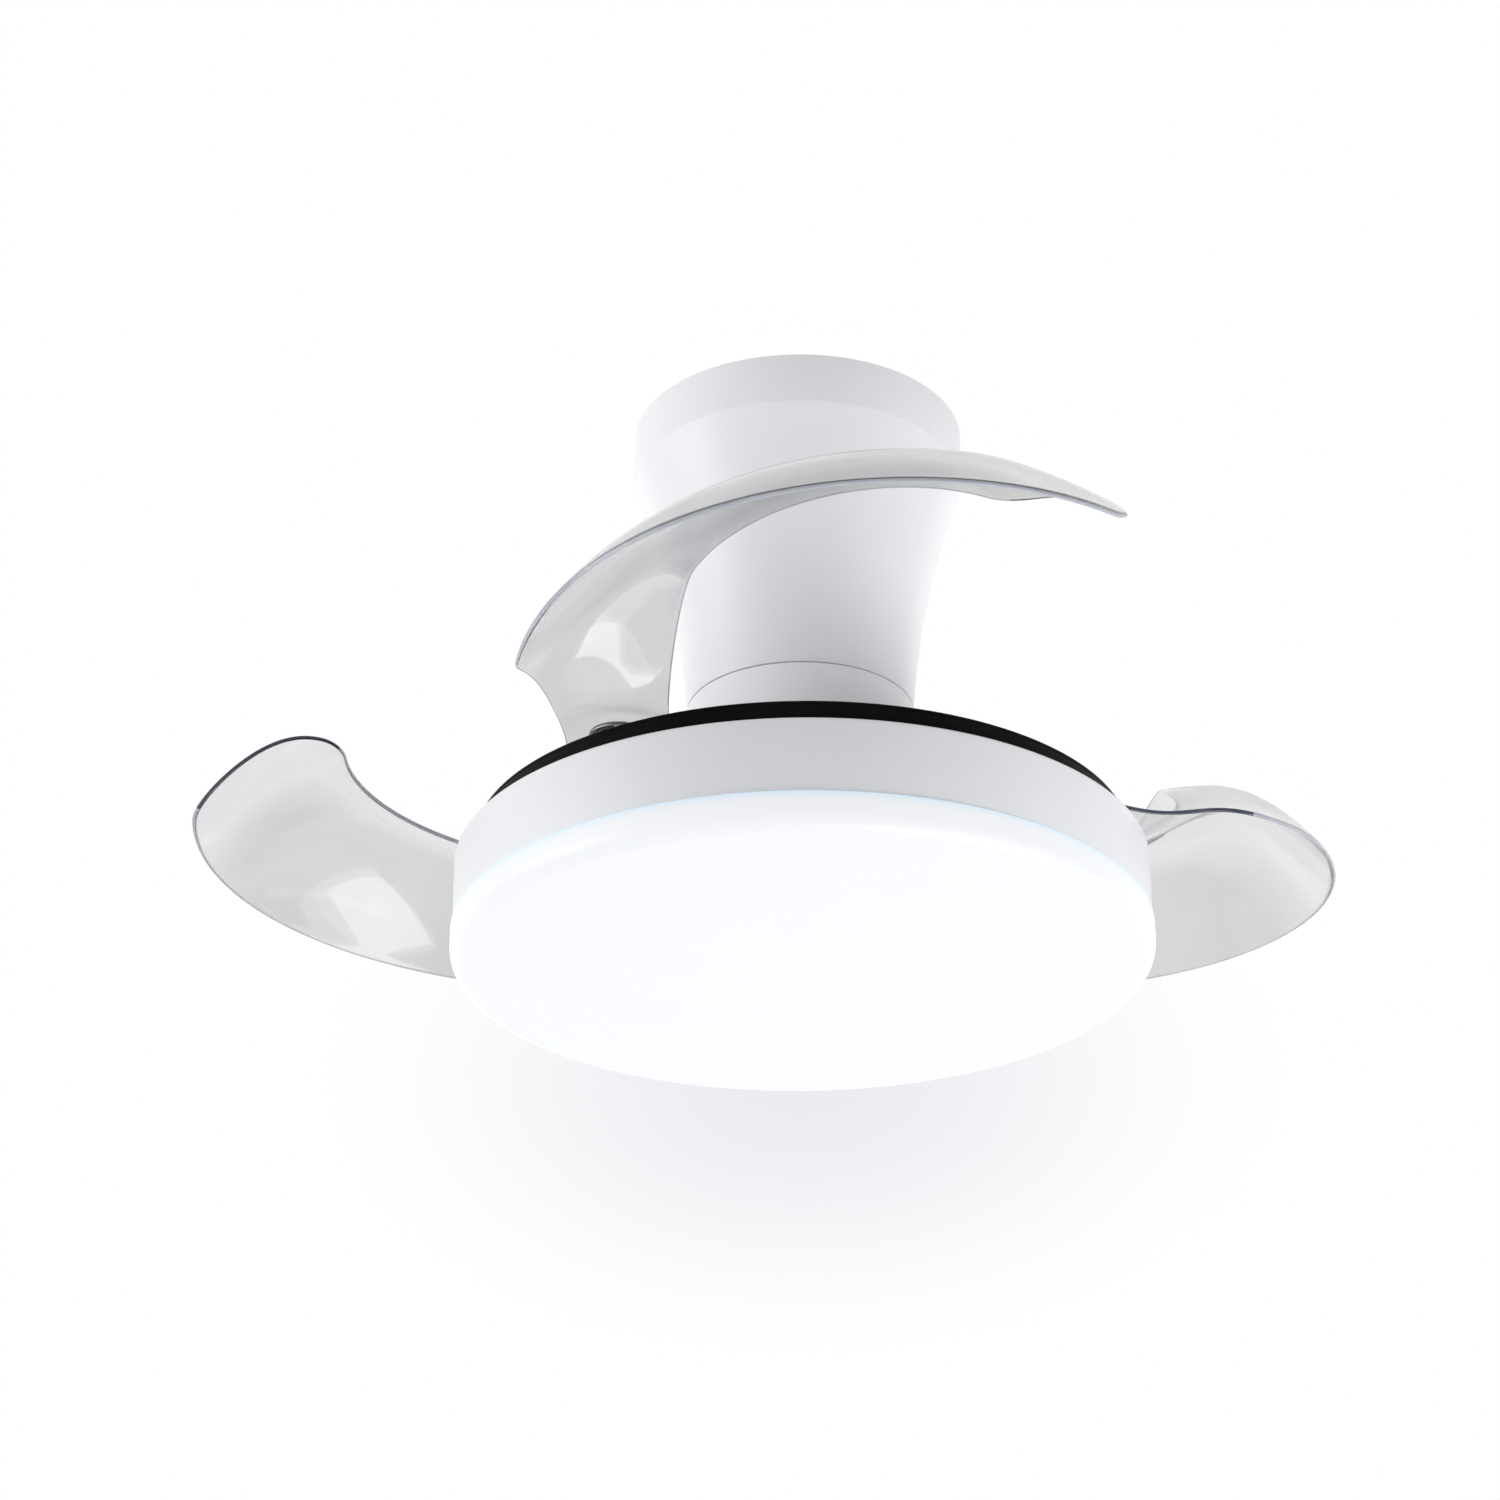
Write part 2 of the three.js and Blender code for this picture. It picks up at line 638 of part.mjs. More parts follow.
function ledDriver() {
  const { length, width, height } = driverSize;
  const top = plateBottomZ - fitGap;
  const body = solid(block(length, width, top - height, top, driverOffset));
  const ears = solid(block(length + 2 * driverEar, width / 2, top - driverEarThickness, top, driverOffset));
  return geometryOf(body.add(ears));
}

add(fan, 'lamp_pan', lampPan(), finish.lampWhite);
const washerBottomZ = washerTopZ - lampWasherThickness;
const nutBottomZ = nutTopZ - lampNutHeight;
add(fan, 'lamp_washer', closed(ring(shaftEndRadius + fitGap, lampWasherRadius, washerBottomZ, washerTopZ,
  raceSides)), finish.zinc);
const nutBore = solid(disc(shaftEndRadius + fitGap, nutBottomZ - 1, nutTopZ + 1, raceSides));
add(fan, 'lamp_nut', geometryOf(solid(disc(lampNutRadius, nutBottomZ, nutTopZ, 6)).subtract(nutBore)),
  finish.zinc);
add(fan, 'led_board', lightBoard(), finish.board);
atAngles(boardPostCount, (angle, k) => {
  const seat = boardBottomZ - fitGap;
  const screw = screwUp(smallScrewRadius - fitGap, smallHeadRadius - fitGap, seat - smallHeadHeight, seat,
    boardTopZ + boardScrewBite, screwSides);
  add(fan, `board_screw_${k + 1}`, turnedBy(screw.translate(boardPostCircle, 0, 0), angle), finish.steel);
}, firstBoardPost);
add(fan, 'led_driver', ledDriver(), finish.greyPlastic);

// ---------- Diffuser, held by a quarter-turn bayonet ----------

function diffuser() {
  const arc = (radius, steps) => Array.from({ length: steps + 1 }, (_, i) => {
    const angle = radians(-90 + (90 / steps) * i);
    return [diffuserRadius - diffuserEdgeRadius + radius * Math.cos(angle),
      lowestZ + diffuserEdgeRadius + radius * Math.sin(angle)];
  });
  const outer = arc(diffuserEdgeRadius, 4);
  const inner = arc(diffuserEdgeRadius - diffuserWall, 3).reverse();
  const profile = [[0, lowestZ], ...outer, [diffuserRadius, diffuserTopZ], [collarOutside, diffuserTopZ],
    [collarOutside, collarRimZ], [collarInside, collarRimZ], [collarInside, diffuserTopZ - diffuserWall],
    [diffuserRadius - diffuserWall, diffuserTopZ - diffuserWall], ...inner, [0, lowestZ + diffuserWall]];
  let dish = solid(turned(profile, largeSides));
  atAngles(bayonetCount, (angle) => {
    const lug = ringPiece(collarInside + diffuserWall / 2, lugOutside, lugBottomZ, collarRimZ, angle,
      bayonetWidth);
    dish = dish.add(solid(lug));
  });
  return geometryOf(dish);
}

add(fan, 'diffuser', diffuser(), finish.opal);

// ---------- Turning parts: motor housing, collar and tray ----------

const rotor = new THREE.Group();
rotor.rotation.z = radians(firstPivotAngle);
fan.add(rotor);

const housingSplitZ = motorMiddleZ;
const housingInside = motorRadius - motorWall;
const seatRadius = bearingRadius + fitGap;
const seatOutside = seatRadius + bearingSeatWall;
const postCircle = pivotRadius * ringGearTeeth / (bladeGearTeeth + ringGearTeeth)
  - 1.25 * gearModule - ringGearBand - guidePostRadius - fitGap;

// One half of the motor's housing. It is drawn as the lower half, from its floor up.
function housingHalf(height) {
  const lipRadius = outerRaceInner + 1;
  const seatTop = bearingLip + fitGap + bearingWidth;
  return turned(
    [[lipRadius, 0], [motorRadius, 0], [motorRadius, height], [housingInside, height],
      [housingInside, motorWall], [seatOutside, motorWall], [seatOutside, seatTop], [seatRadius, seatTop],
      [seatRadius, bearingLip],
      [lipRadius, bearingLip]],
    middleSides,
  );
}

function housingBottom() {
  let half = solid(housingHalf(housingSplitZ - motorBottomZ - fitGap / 2).translate(0, 0, motorBottomZ));
  atAngles(bladeCount, (angle) => {
    const hole = disc(smallScrewRadius + fitGap, motorBottomZ - 1, motorBottomZ + motorWall + 1, screwSides);
    half = half.subtract(solid(turnedBy(hole.translate(motorScrewCircle, 0, 0), angle)));
  });
  return geometryOf(half);
}

function ballCage(bottom) {
  const middle = bottom + bearingWidth / 2;
  let cage = solid(ring(ballCircle - cageWidth / 2, ballCircle + cageWidth / 2, middle - cageHeight / 2,
    middle + cageHeight / 2, smallSides));
  atAngles(ballCount, (angle) => {
    const ball = new THREE.SphereGeometry(ballRadius, 6, 4).rotateX(Math.PI / 2);
    ball.translate(ballCircle, 0, middle);
    cage = cage.add(solid(turnedBy(ball, angle)));
  });
  return geometryOf(cage);
}

function rotorCollar() {
  const flangeInside = collarFootRadius - collarFootFlange;
  const flangeTop = motorBottomZ + shellWall;
  return closed(turned(
    [[flangeInside, motorBottomZ], [collarFootRadius, motorBottomZ], [neckRadius, collarTopZ],
      [neckRadius - shellWall, collarTopZ], [collarFootRadius - shellWall, flangeTop],
      [flangeInside, flangeTop]],
    largeSides,
  ));
}

function trayLid() {
  let lid = solid(ring(trayShaftHole, trayRadius, lidBottomZ, trayTopZ, largeSides));
  const deep = [lidBottomZ - 1, trayTopZ + 1];
  atAngles(bladeCount, (angle) => {
    const pivotHole = disc(hubRadius + fitGap, ...deep, middleSides).translate(pivotRadius, 0, 0);
    const motorHole = disc(smallScrewRadius + fitGap, ...deep, screwSides).translate(motorScrewCircle, 0, 0);
    lid = cut(lid, solid(turnedBy(pivotHole, angle)), solid(turnedBy(motorHole, angle)));
  });
  atAngles(bladeCount, (angle) => {
    const hole = disc(smallScrewRadius, ...deep, screwSides).translate(postCircle, 0, 0);
    lid = lid.subtract(solid(turnedBy(hole, angle)));
  }, 180 / bladeCount);
  return geometryOf(lid);
}

function trayBase() {
  const top = lidBottomZ - fitGap;
  const floor = trayBottomZ + trayWall;
  const inside = trayRadius - trayWall;
  let base = solid(turned(
    [[trayShaftHole, trayBottomZ], [trayRadius - trayChamfer, trayBottomZ],
      [trayRadius, trayBottomZ + trayChamfer], [trayRadius, top], [inside, top], [inside, floor],
      [trayShaftHole, floor]],
    largeSides,
  ));
  atAngles(bladeCount, (angle) => {
    const post = disc(guidePostRadius, trayBottomZ + trayWall / 2, top, smallSides);
    const hole = disc(smallScrewRadius, top - trayScrewBite - 1, top + 1, screwSides);
    base = base.add(solid(turnedBy(post.translate(postCircle, 0, 0), angle)));
    base = base.subtract(solid(turnedBy(hole.translate(postCircle, 0, 0), angle)));
  }, 180 / bladeCount);
  atAngles(bladeCount, (angle) => {
    const hole = disc(pivotBoltRadius + fitGap, trayBottomZ - 1, trayBottomZ + trayWall + 1, smallSides);
    base = base.subtract(solid(turnedBy(hole.translate(pivotRadius, 0, 0), angle)));
  });
  return geometryOf(base);
}

add(rotor, 'motor_housing_bottom', housingBottom(), finish.castAluminium);
add(rotor, 'motor_housing_top', closed(housingHalf(motorTopZ - housingSplitZ - fitGap / 2)
  .rotateX(Math.PI).translate(0, 0, motorTopZ)), finish.castAluminium);
add(rotor, 'magnet_ring', closed(ring(statorRadius + airGap, statorRadius + airGap + magnetThickness,
  statorBottomZ - magnetOverhang, statorTopZ + magnetOverhang, middleSides)), finish.magnet);
for (const [name, bottom] of [['lower', lowerBearingZ], ['upper', upperBearingZ]]) {
  const race = ring(outerRaceInner, bearingRadius, bottom, bottom + bearingWidth, raceSides);
  add(rotor, `${name}_outer_race`, closed(race), finish.steel);
  add(rotor, `${name}_ball_cage`, ballCage(bottom), finish.steel);
}
add(rotor, 'rotor_collar', rotorCollar(), finish.shellWhite);
add(rotor, 'tray_lid', trayLid(), finish.trayBlack);
add(rotor, 'tray_base', trayBase(), finish.trayBlack);
atAngles(bladeCount, (angle, k) => {
  const seat = lidBottomZ - fitGap;
  const screw = screwUp(smallScrewRadius, smallHeadRadius, seat - smallHeadHeight, seat,
    motorBottomZ + motorWall - fitGap, screwSides);
  add(rotor, `motor_screw_${k + 1}`, turnedBy(screw.translate(motorScrewCircle, 0, 0), angle), finish.steel);
});
atAngles(bladeCount, (angle, k) => {
  const seat = trayTopZ + fitGap;
  const screw = screwDown(smallScrewRadius - fitGap, smallHeadRadius, seat + smallHeadHeight, seat,
    lidBottomZ - fitGap - trayScrewBite, screwSides);
  add(rotor, `tray_screw_${k + 1}`, turnedBy(screw.translate(postCircle, 0, 0), angle), finish.steel);
}, 180 / bladeCount);

// ---------- Gears ----------

// Corners of one involute tooth, as [radius, angle from the tooth's middle], from one root to the other.
function toothCorners(teeth) {
  const pitch = (gearModule * teeth) / 2;
  const base = pitch * Math.cos(radians(pressureAngle));
  const root = pitch - 1.25 * gearModule;
  const tip = pitch + 0.95 * gearModule;
  const roll = (radius) => Math.sqrt(Math.max((radius / base) ** 2 - 1, 0));
  const involute = (radius) => roll(radius) - Math.atan(roll(radius));
  const halfAtPitch = Math.PI / (2 * teeth) - gearBacklash / (2 * pitch);
  const half = (radius) => halfAtPitch + involute(pitch) - involute(Math.max(radius, base));
  const radii = [root, pitch, tip];
  const side = radii.map((radius) => [radius, half(radius)]);
  return [...side.map(([radius, angle]) => [radius, -angle]), ...side.reverse()];
}

function toothedStretch(outline, teeth, firstTooth, lastTooth, phase) {
  for (let i = firstTooth; i <= lastTooth; i += 1) {
    const middle = ((i + phase) * 2 * Math.PI) / teeth;
    for (const [radius, angle] of toothCorners(teeth)) {
      outline.push([radius * Math.cos(middle + angle), radius * Math.sin(middle + angle)]);
    }
  }
}

function arcPoints(outline, radius, from, to, steps) {
  for (let i = 0; i <= steps; i += 1) {
    const angle = radians(between(from, to, i / steps));
    outline.push([radius * Math.cos(angle), radius * Math.sin(angle)]);
  }
}

const shapeOf = (points) => new THREE.Shape(points.map(([x, y]) => new THREE.Vector2(x, y)));

const ringPitch = (gearModule * ringGearTeeth) / 2;
const ringTurn = (foldAngle * bladeGearTeeth) / ringGearTeeth;

function syncRing() {
  const pitchAngle = 360 / ringGearTeeth;
  const spare = 3;
  const first = -spare;
  const last = Math.ceil(ringTurn / pitchAngle) + spare;
  const root = ringPitch - 1.25 * gearModule;
  const outline = [];
  const perSector = ringGearTeeth / bladeCount;
  for (let k = 0; k < bladeCount; k += 1) {
    toothedStretch(outline, ringGearTeeth, first + k * perSector, last + k * perSector, 0);
    const from = (last + k * perSector + 1) * pitchAngle;
    const to = (first + (k + 1) * perSector - 1) * pitchAngle;
    arcPoints(outline, root, from, to, 8);
  }
  const plate = shapeOf(outline);
  const bore = new THREE.Path();
  bore.absarc(0, 0, root - ringGearBand, 0, 2 * Math.PI, true);
  plate.holes.push(bore);
  return closed(slab(plate, gearBottomZ, gearTopZ, largeSides));
}

// The toothed sector faces the fan's axis, over the whole swing of the blade.
function bladeGear() {
  const pitchAngle = 360 / bladeGearTeeth;
  const first = Math.floor((180 - foldAngle) / pitchAngle) - 2;
  const last = Math.ceil(180 / pitchAngle) + 1;
  const neck = hubRadius + 2;
  const outline = [];
  toothedStretch(outline, bladeGearTeeth, first, last, 0.5);
  const edgeFrom = (last + 1.1) * pitchAngle;
  const edgeTo = (first - 0.1) * pitchAngle;
  arcPoints(outline, neck, edgeFrom, edgeTo + 360, 10);
  const sector = solid(slab(shapeOf(outline), gearBottomZ, gearTopZ));
  const hub = solid(disc(hubRadius, gearBottomZ, trayTopZ + fitGap, raceSides));
  const spigot = solid(block(spigotSide, spigotSide, trayTopZ, bladeBossTopZ - bladeBossCap));
  const bore = solid(disc(pivotBoltRadius + fitGap, gearBottomZ - 1, bladeBossTopZ + 1, smallSides));
  return geometryOf(join(sector, hub, spigot).subtract(bore));
}

add(rotor, 'sync_ring', syncRing(), finish.nylon);

// ---------- Blades ----------

const onArc = (edge, angle) => [edge.x + edge.radius * Math.cos(radians(angle)),
  edge.y + edge.radius * Math.sin(radians(angle))];
const edgeHeight = (edge, angle) => {
  const share = (angle - edge.from) / (edge.to - edge.from);
  return between(edge.low, edge.high, share) + edge.bow * 4 * share * (1 - share);
};
const rootReach = Math.hypot(innerEdge.x, innerEdge.y);
const rootRadius = rootReach - innerEdge.radius; // the root disc touches the inner edge's arc

// Height of the middle of the sheet above the tray.
function sheetHeight(x, y) {
  const outerAngle = degreesOf(y - outerEdge.y, x - outerEdge.x);
  const innerAngle = degreesOf(y - innerEdge.y, x - innerEdge.x);
  const toOuter = Math.max(outerEdge.radius - Math.hypot(x - outerEdge.x, y - outerEdge.y), 0);
  const toInner = Math.max(Math.hypot(x - innerEdge.x, y - innerEdge.y) - innerEdge.radius, 0);
  const across = toOuter / (toOuter + toInner + 1e-9);
  const along = Math.min(Math.max((outerAngle - outerEdge.from) / (outerEdge.to - outerEdge.from), 0), 1);
  const easeOff = easeIn((along - archEaseOff) / (1 - archEaseOff));
  const arch = easeIn(along / archStart) * between(archHeight, archAtTip, easeOff);
  const chord = between(edgeHeight(outerEdge, outerAngle), edgeHeight(innerEdge, innerAngle), across);
  const sheet = chord + arch * 4 * across * (1 - across);
  return between(bladeRootHeight, sheet, easeIn((Math.hypot(x, y) - rootRadius) / bladeRise));
}

// The two long sides of the blade's plan, from the back of the root disc to the middle of the tip.
function bladeSides() {
  const corner = onArc(outerEdge, outerEdge.from);
  const tipOuter = onArc(outerEdge, outerEdge.to);
  const tipInner = onArc(innerEdge, innerEdge.to);
  const leave = -70.6; // angle round the root disc where the root edge leaves it
  const meet = degreesOf(innerEdge.y, innerEdge.x); // where the disc meets the inner arc
  const back = (leave + meet - 360) / 2;
  const onDisc = (angle) => [rootRadius * Math.cos(radians(angle)), rootRadius * Math.sin(radians(angle))];
  const bent = (from, to, bulge) => {
    const length = Math.hypot(to[0] - from[0], to[1] - from[1]);
    const side = [(from[1] - to[1]) / length, (to[0] - from[0]) / length];
    const control = new THREE.Vector2((from[0] + to[0]) / 2 + 2 * bulge * side[0],
      (from[1] + to[1]) / 2 + 2 * bulge * side[1]);
    return new THREE.QuadraticBezierCurve(new THREE.Vector2(...from), control, new THREE.Vector2(...to));
  };
  const rootEdge = bent(onDisc(leave), corner, rootEdgeHollow / 2);
  const tip = bent(tipOuter, tipInner, -tipBulge);
  const tangent = degreesOf(-innerEdge.y, -innerEdge.x);
  const discSteps = 3;
  const rootSteps = 4;
  const longSteps = 16;
  const tipSteps = 3;
  const outer = [];
  const inner = [];
  for (let i = 0; i < discSteps; i += 1) outer.push(onDisc(between(back, leave, i / discSteps)));
  for (let i = 0; i < rootSteps; i += 1) outer.push(rootEdge.getPoint(i / rootSteps).toArray());
  for (let i = 0; i < longSteps; i += 1) {
    outer.push(onArc(outerEdge, between(outerEdge.from, outerEdge.to, i / longSteps)));
  }
  for (let i = 0; i <= tipSteps; i += 1) outer.push(tip.getPoint((i / tipSteps) / 2).toArray());
  const discSide = discSteps + rootSteps - 1;
  for (let i = 0; i < discSide; i += 1) inner.push(onDisc(between(back, meet - 360, i / discSide)));
  const innerSteps = outer.length - discSide - tipSteps - 1;
  for (let i = 0; i < innerSteps; i += 1) {
    inner.push(onArc(innerEdge, between(tangent, innerEdge.to, i / innerSteps)));
  }
  for (let i = 0; i <= tipSteps; i += 1) inner.push(tip.getPoint(1 - (i / tipSteps) / 2).toArray());
  return { outer, inner };
}

function sheetPoint(x, y, side) {
  const step = 0.5;
  const slopeX = (sheetHeight(x + step, y) - sheetHeight(x - step, y)) / (2 * step);
  const slopeY = (sheetHeight(x, y + step) - sheetHeight(x, y - step)) / (2 * step);
  const normal = new THREE.Vector3(-slopeX, -slopeY, 1).normalize();
  const middle = new THREE.Vector3(x, y, trayTopZ + sheetHeight(x, y));
  return middle.addScaledVector(normal, (side * bladeThickness) / 2);
}

function bladeSheet() {
  const { outer, inner } = bladeSides();
  const acrossSteps = 6;
  const points = [];
  const triangles = [];
  const rowLength = acrossSteps + 1;
  for (const side of [1, -1]) {
    outer.forEach(([ox, oy], i) => {
      const [ix, iy] = inner[i];
      for (let j = 0; j <= acrossSteps; j += 1) {
        const share = j / acrossSteps;
        points.push(...sheetPoint(between(ox, ix, share), between(oy, iy, share), side).toArray());
      }
    });
  }
  const under = outer.length * rowLength;
  const at = (i, j, lower) => i * rowLength + j + (lower ? under : 0);
  const quad = (a, b, c, d) => triangles.push(a, b, c, a, c, d);
  for (let i = 0; i + 1 < outer.length; i += 1) {
    for (let j = 0; j < acrossSteps; j += 1) {
      quad(at(i, j), at(i, j + 1), at(i + 1, j + 1), at(i + 1, j));
      quad(at(i, j, true), at(i + 1, j, true), at(i + 1, j + 1, true), at(i, j + 1, true));
    }
    quad(at(i, 0), at(i + 1, 0), at(i + 1, 0, true), at(i, 0, true));
    quad(at(i, acrossSteps), at(i, acrossSteps, true), at(i + 1, acrossSteps, true), at(i + 1, acrossSteps));
  }
  const last = outer.length - 1;
  for (let j = 0; j < acrossSteps; j += 1) {
    quad(at(0, j), at(0, j, true), at(0, j + 1, true), at(0, j + 1));
    quad(at(last, j), at(last, j + 1), at(last, j + 1, true), at(last, j, true));
  }
  const geometry = new THREE.BufferGeometry();
  geometry.setAttribute('position', new THREE.Float32BufferAttribute(points, 3));
  geometry.setIndex(triangles);
  return geometry;
}

function blade() {
  const boss = solid(disc(bladeBossRadius, bladeBossBottomZ, bladeBossTopZ, middleSides));
  const pocketSide = spigotSide + 2 * fitGap;
  const pocketTop = bladeBossTopZ - bladeBossCap + fitGap;
  const pocket = solid(block(pocketSide, pocketSide, bladeBossBottomZ - 1, pocketTop));
  const bore = solid(disc(pivotBoltRadius + fitGap, bladeBossBottomZ - 1, bladeBossTopZ + 1, smallSides));
  return geometryOf(cut(solid(bladeSheet()).add(boss), pocket, bore));
}

// A return spring: close turns round the gear's hub, with a straight leg at each end.
class SpringPath extends THREE.Curve {
  getPoint(share, target = new THREE.Vector3()) {
    const radius = hubRadius + springClearance;
    const turnLength = 2 * Math.PI * radius * springTurns;
    const run = share * (turnLength + 2 * springLeg) - springLeg;
    const onCoil = Math.min(Math.max(run, 0), turnLength);
    const beyond = run - onCoil;
    const angle = onCoil / radius;
    const highest = lidBottomZ - springWireRadius - fitGap;
    const lowest = highest - springTurns * (2 * springWireRadius + fitGap);
    return target.set(radius * Math.cos(angle) - beyond * Math.sin(angle),
      radius * Math.sin(angle) + beyond * Math.cos(angle),
      between(lowest, highest, onCoil / turnLength));
  }
}

function returnSpring() {
  const wire = [];
  arcPoints(wire, springWireRadius, 0, 288, 4);
  const geometry = new THREE.ExtrudeGeometry(shapeOf(wire), {
    steps: 22,
    bevelEnabled: false,
    extrudePath: new SpringPath(),
  });
  return closed(geometry);
}

atAngles(bladeCount, (angle, k) => {
  const pivot = new THREE.Group();
  pivot.rotation.z = radians(angle);
  rotor.add(pivot);
  const station = new THREE.Group();
  station.position.x = pivotRadius;
  pivot.add(station);
  const seat = bladeBossTopZ + fitGap;
  const bolt = screwDown(pivotBoltRadius, pivotHeadRadius, seat + pivotHeadHeight, seat, trayBottomZ + fitGap,
    smallSides);
  add(station, `blade_${k + 1}`, blade(), finish.clear);
  add(station, `blade_gear_${k + 1}`, bladeGear(), finish.nylon);
  add(station, `pivot_bolt_${k + 1}`, bolt, finish.steel);
  add(station, `return_spring_${k + 1}`, returnSpring(), finish.steel);
});

export default fan;
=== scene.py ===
# Ceiling fan with three folding clear blades and a round lamp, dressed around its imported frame.
# The pieces' sizes are in millimetres, and those of camera, room, lights and materials in metres.
import math

import bmesh
import bpy
import numpy as np
from mathutils import Matrix, Vector


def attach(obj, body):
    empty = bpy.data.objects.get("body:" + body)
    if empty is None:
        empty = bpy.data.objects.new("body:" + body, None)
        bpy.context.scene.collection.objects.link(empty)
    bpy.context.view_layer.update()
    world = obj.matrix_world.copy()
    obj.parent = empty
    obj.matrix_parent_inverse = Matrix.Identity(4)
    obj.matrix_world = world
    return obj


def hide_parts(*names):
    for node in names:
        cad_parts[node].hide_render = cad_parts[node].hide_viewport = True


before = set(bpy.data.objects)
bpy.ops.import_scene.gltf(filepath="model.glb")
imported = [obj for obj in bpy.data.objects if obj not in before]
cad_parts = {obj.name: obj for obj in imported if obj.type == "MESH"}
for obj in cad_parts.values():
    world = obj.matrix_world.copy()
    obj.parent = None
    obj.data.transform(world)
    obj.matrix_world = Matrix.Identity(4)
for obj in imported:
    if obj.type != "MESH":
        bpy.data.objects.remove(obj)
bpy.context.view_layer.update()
print("frame loaded")

mm = 0.001


# camera, room and lights

camera = {
    "lens": 84.0,
    "sensor": 36.0,
    "shift": (-0.0353, 0.1487),
    "place": (0.0, -2.302, -1.3806),
    "pitch": 22.31,
    "roll": -0.573,
}

room = {
    "floorHeight": -2.5,
    "floorHalf": 20.0,
    "floorColour": (0.86, 0.865, 0.87),
    "floorShade": 0.985,
    "floorGlow": 0.56,
    "floorFade": (5.0, 14.0),
    "worldColour": (0.97, 0.98, 1.0),
    "worldStrength": 0.5,
    "shadeColour": (0.825, 0.84, 0.875),
    "shadeDirection": (0.0, 0.937, 0.35),
    "shadeSpread": (7.0, 1.0, 13.0),
}

# each soft box: place, side length, power in watts, whether it shows in reflections; all point at the fan
softBoxes = {
    "leftSide": ((-3.2, -1.0, -0.3), 1.8, 44.0, True),
    "leftFront": ((-2.2, -2.2, -0.2), 1.8, 5.5, False),
    "leftLow": ((-2.6, 0.3, -1.7), 1.6, 15.0, False),
    "rightLow": ((2.2, -0.6, -2.0), 1.6, 56.0, False),
    "topFront": ((0.0, -1.8, 2.2), 1.8, 5.0, False),
    "backLeft": ((-2.0, 2.4, 0.3), 1.8, 8.0, True),
    "backRight": ((2.0, 2.4, 0.3), 1.8, 8.0, True),
}
boxTarget = (0.0, 0.0, -0.25)

# flat panes above the floor that only show in gloss, as bright shapes in the blades:
# place, width, length, turn in degrees, watts, colour
panes = {
    "widePane": ((1.4, -0.1, -2.4), 1.8, 1.6, 0.0, 13.0, (1.0, 1.0, 1.0)),
    "rootPane": ((1.05, -0.15, -2.38), 1.05, 1.3, 0.0, 12.0, (1.0, 1.0, 1.0)),
    "coolStrip": ((1.9, 0.68, -2.36), 2.9, 0.16, 41.0, 1.4, (0.80, 0.91, 1.0)),
}


def linked(thing):
    bpy.context.scene.collection.objects.link(thing)
    return thing


def addCamera():
    data = bpy.data.cameras.new("photoCamera")
    data.sensor_fit = "HORIZONTAL"
    data.sensor_width = camera["sensor"]
    data.lens = camera["lens"]
    data.shift_x, data.shift_y = camera["shift"]
    data.clip_start = 0.05
    data.clip_end = 100.0
    data.dof.use_dof = False
    viewer = linked(bpy.data.objects.new("photoCamera", data))
    pitch = Matrix.Rotation(math.radians(90 + camera["pitch"]), 4, "X")
    roll = Matrix.Rotation(math.radians(camera["roll"]), 4, "Z")
    viewer.matrix_world = Matrix.Translation(camera["place"]) @ pitch @ roll
    bpy.context.scene.camera = viewer


def addSoftBox(name, place, width, height, power):
    data = bpy.data.lights.new(name, "AREA")
    data.shape = "RECTANGLE"
    data.size = width
    data.size_y = height
    data.energy = power
    lampBox = linked(bpy.data.objects.new(name, data))
    lampBox.location = place
    lampBox.rotation_euler = (Vector(boxTarget) - Vector(place)).to_track_quat("-Z", "Y").to_euler()
    lampBox.visible_camera = False
    lampBox.visible_transmission = False
    return lampBox


def addSoftBoxes():
    for name, (place, side, power, inGloss) in softBoxes.items():
        addSoftBox(name, place, side, side, power).visible_glossy = inGloss
    for name, (place, width, length, turn, power, colour) in panes.items():
        pane = addSoftBox(name, place, width, length, power)
        pane.rotation_euler = (math.pi, 0.0, math.radians(turn))
        pane.data.color = colour
        pane.visible_diffuse = False


# node helpers

def feed(tree, socket, value):
    if isinstance(value, bpy.types.NodeSocket):
        tree.links.new(value, socket)
    elif socket.type == "RGBA":
        socket.default_value = (*value, 1.0)
    else:
        socket.default_value = value


def addNode(tree, kind, inputs=None, **settings):
    made = tree.nodes.new(kind)
    for key, value in settings.items():
        setattr(made, key, value)
    for key, value in (inputs or {}).items():
        feed(tree, made.inputs[key], value)
    return made


def newGroup(name, inputs, outputs):
    group = bpy.data.node_groups.new(name, "ShaderNodeTree")
    kinds = {"colour": "NodeSocketColor", "value": "NodeSocketFloat"}
    for label, kind, value in inputs:
        socket = group.interface.new_socket(name=label, in_out="INPUT", socket_type=kinds[kind])
        socket.default_value = (*value, 1.0) if kind == "colour" else value
    for label, kind in outputs:
        group.interface.new_socket(name=label, in_out="OUTPUT", socket_type=kinds[kind])
    given = group.nodes.new("NodeGroupInput")
    result = group.nodes.new("NodeGroupOutput")
    return group, given.outputs, result.inputs


def placeGroup(tree, group, inputs):
    return addNode(tree, "ShaderNodeGroup", inputs, node_tree=group).outputs


def newMaterial(name, plain):
    material = bpy.data.materials.new(name)
    material.use_nodes = True
    tree = material.node_tree
    tree.nodes.clear()
    output = tree.nodes.new("ShaderNodeOutputMaterial")
    shader = tree.nodes.new("ShaderNodeBsdfPrincipled")
    tree.links.new(shader.outputs["BSDF"], output.inputs["Surface"])
    for key, value in plain.items():
        feed(tree, shader.inputs[key], value)
    return material, tree, shader


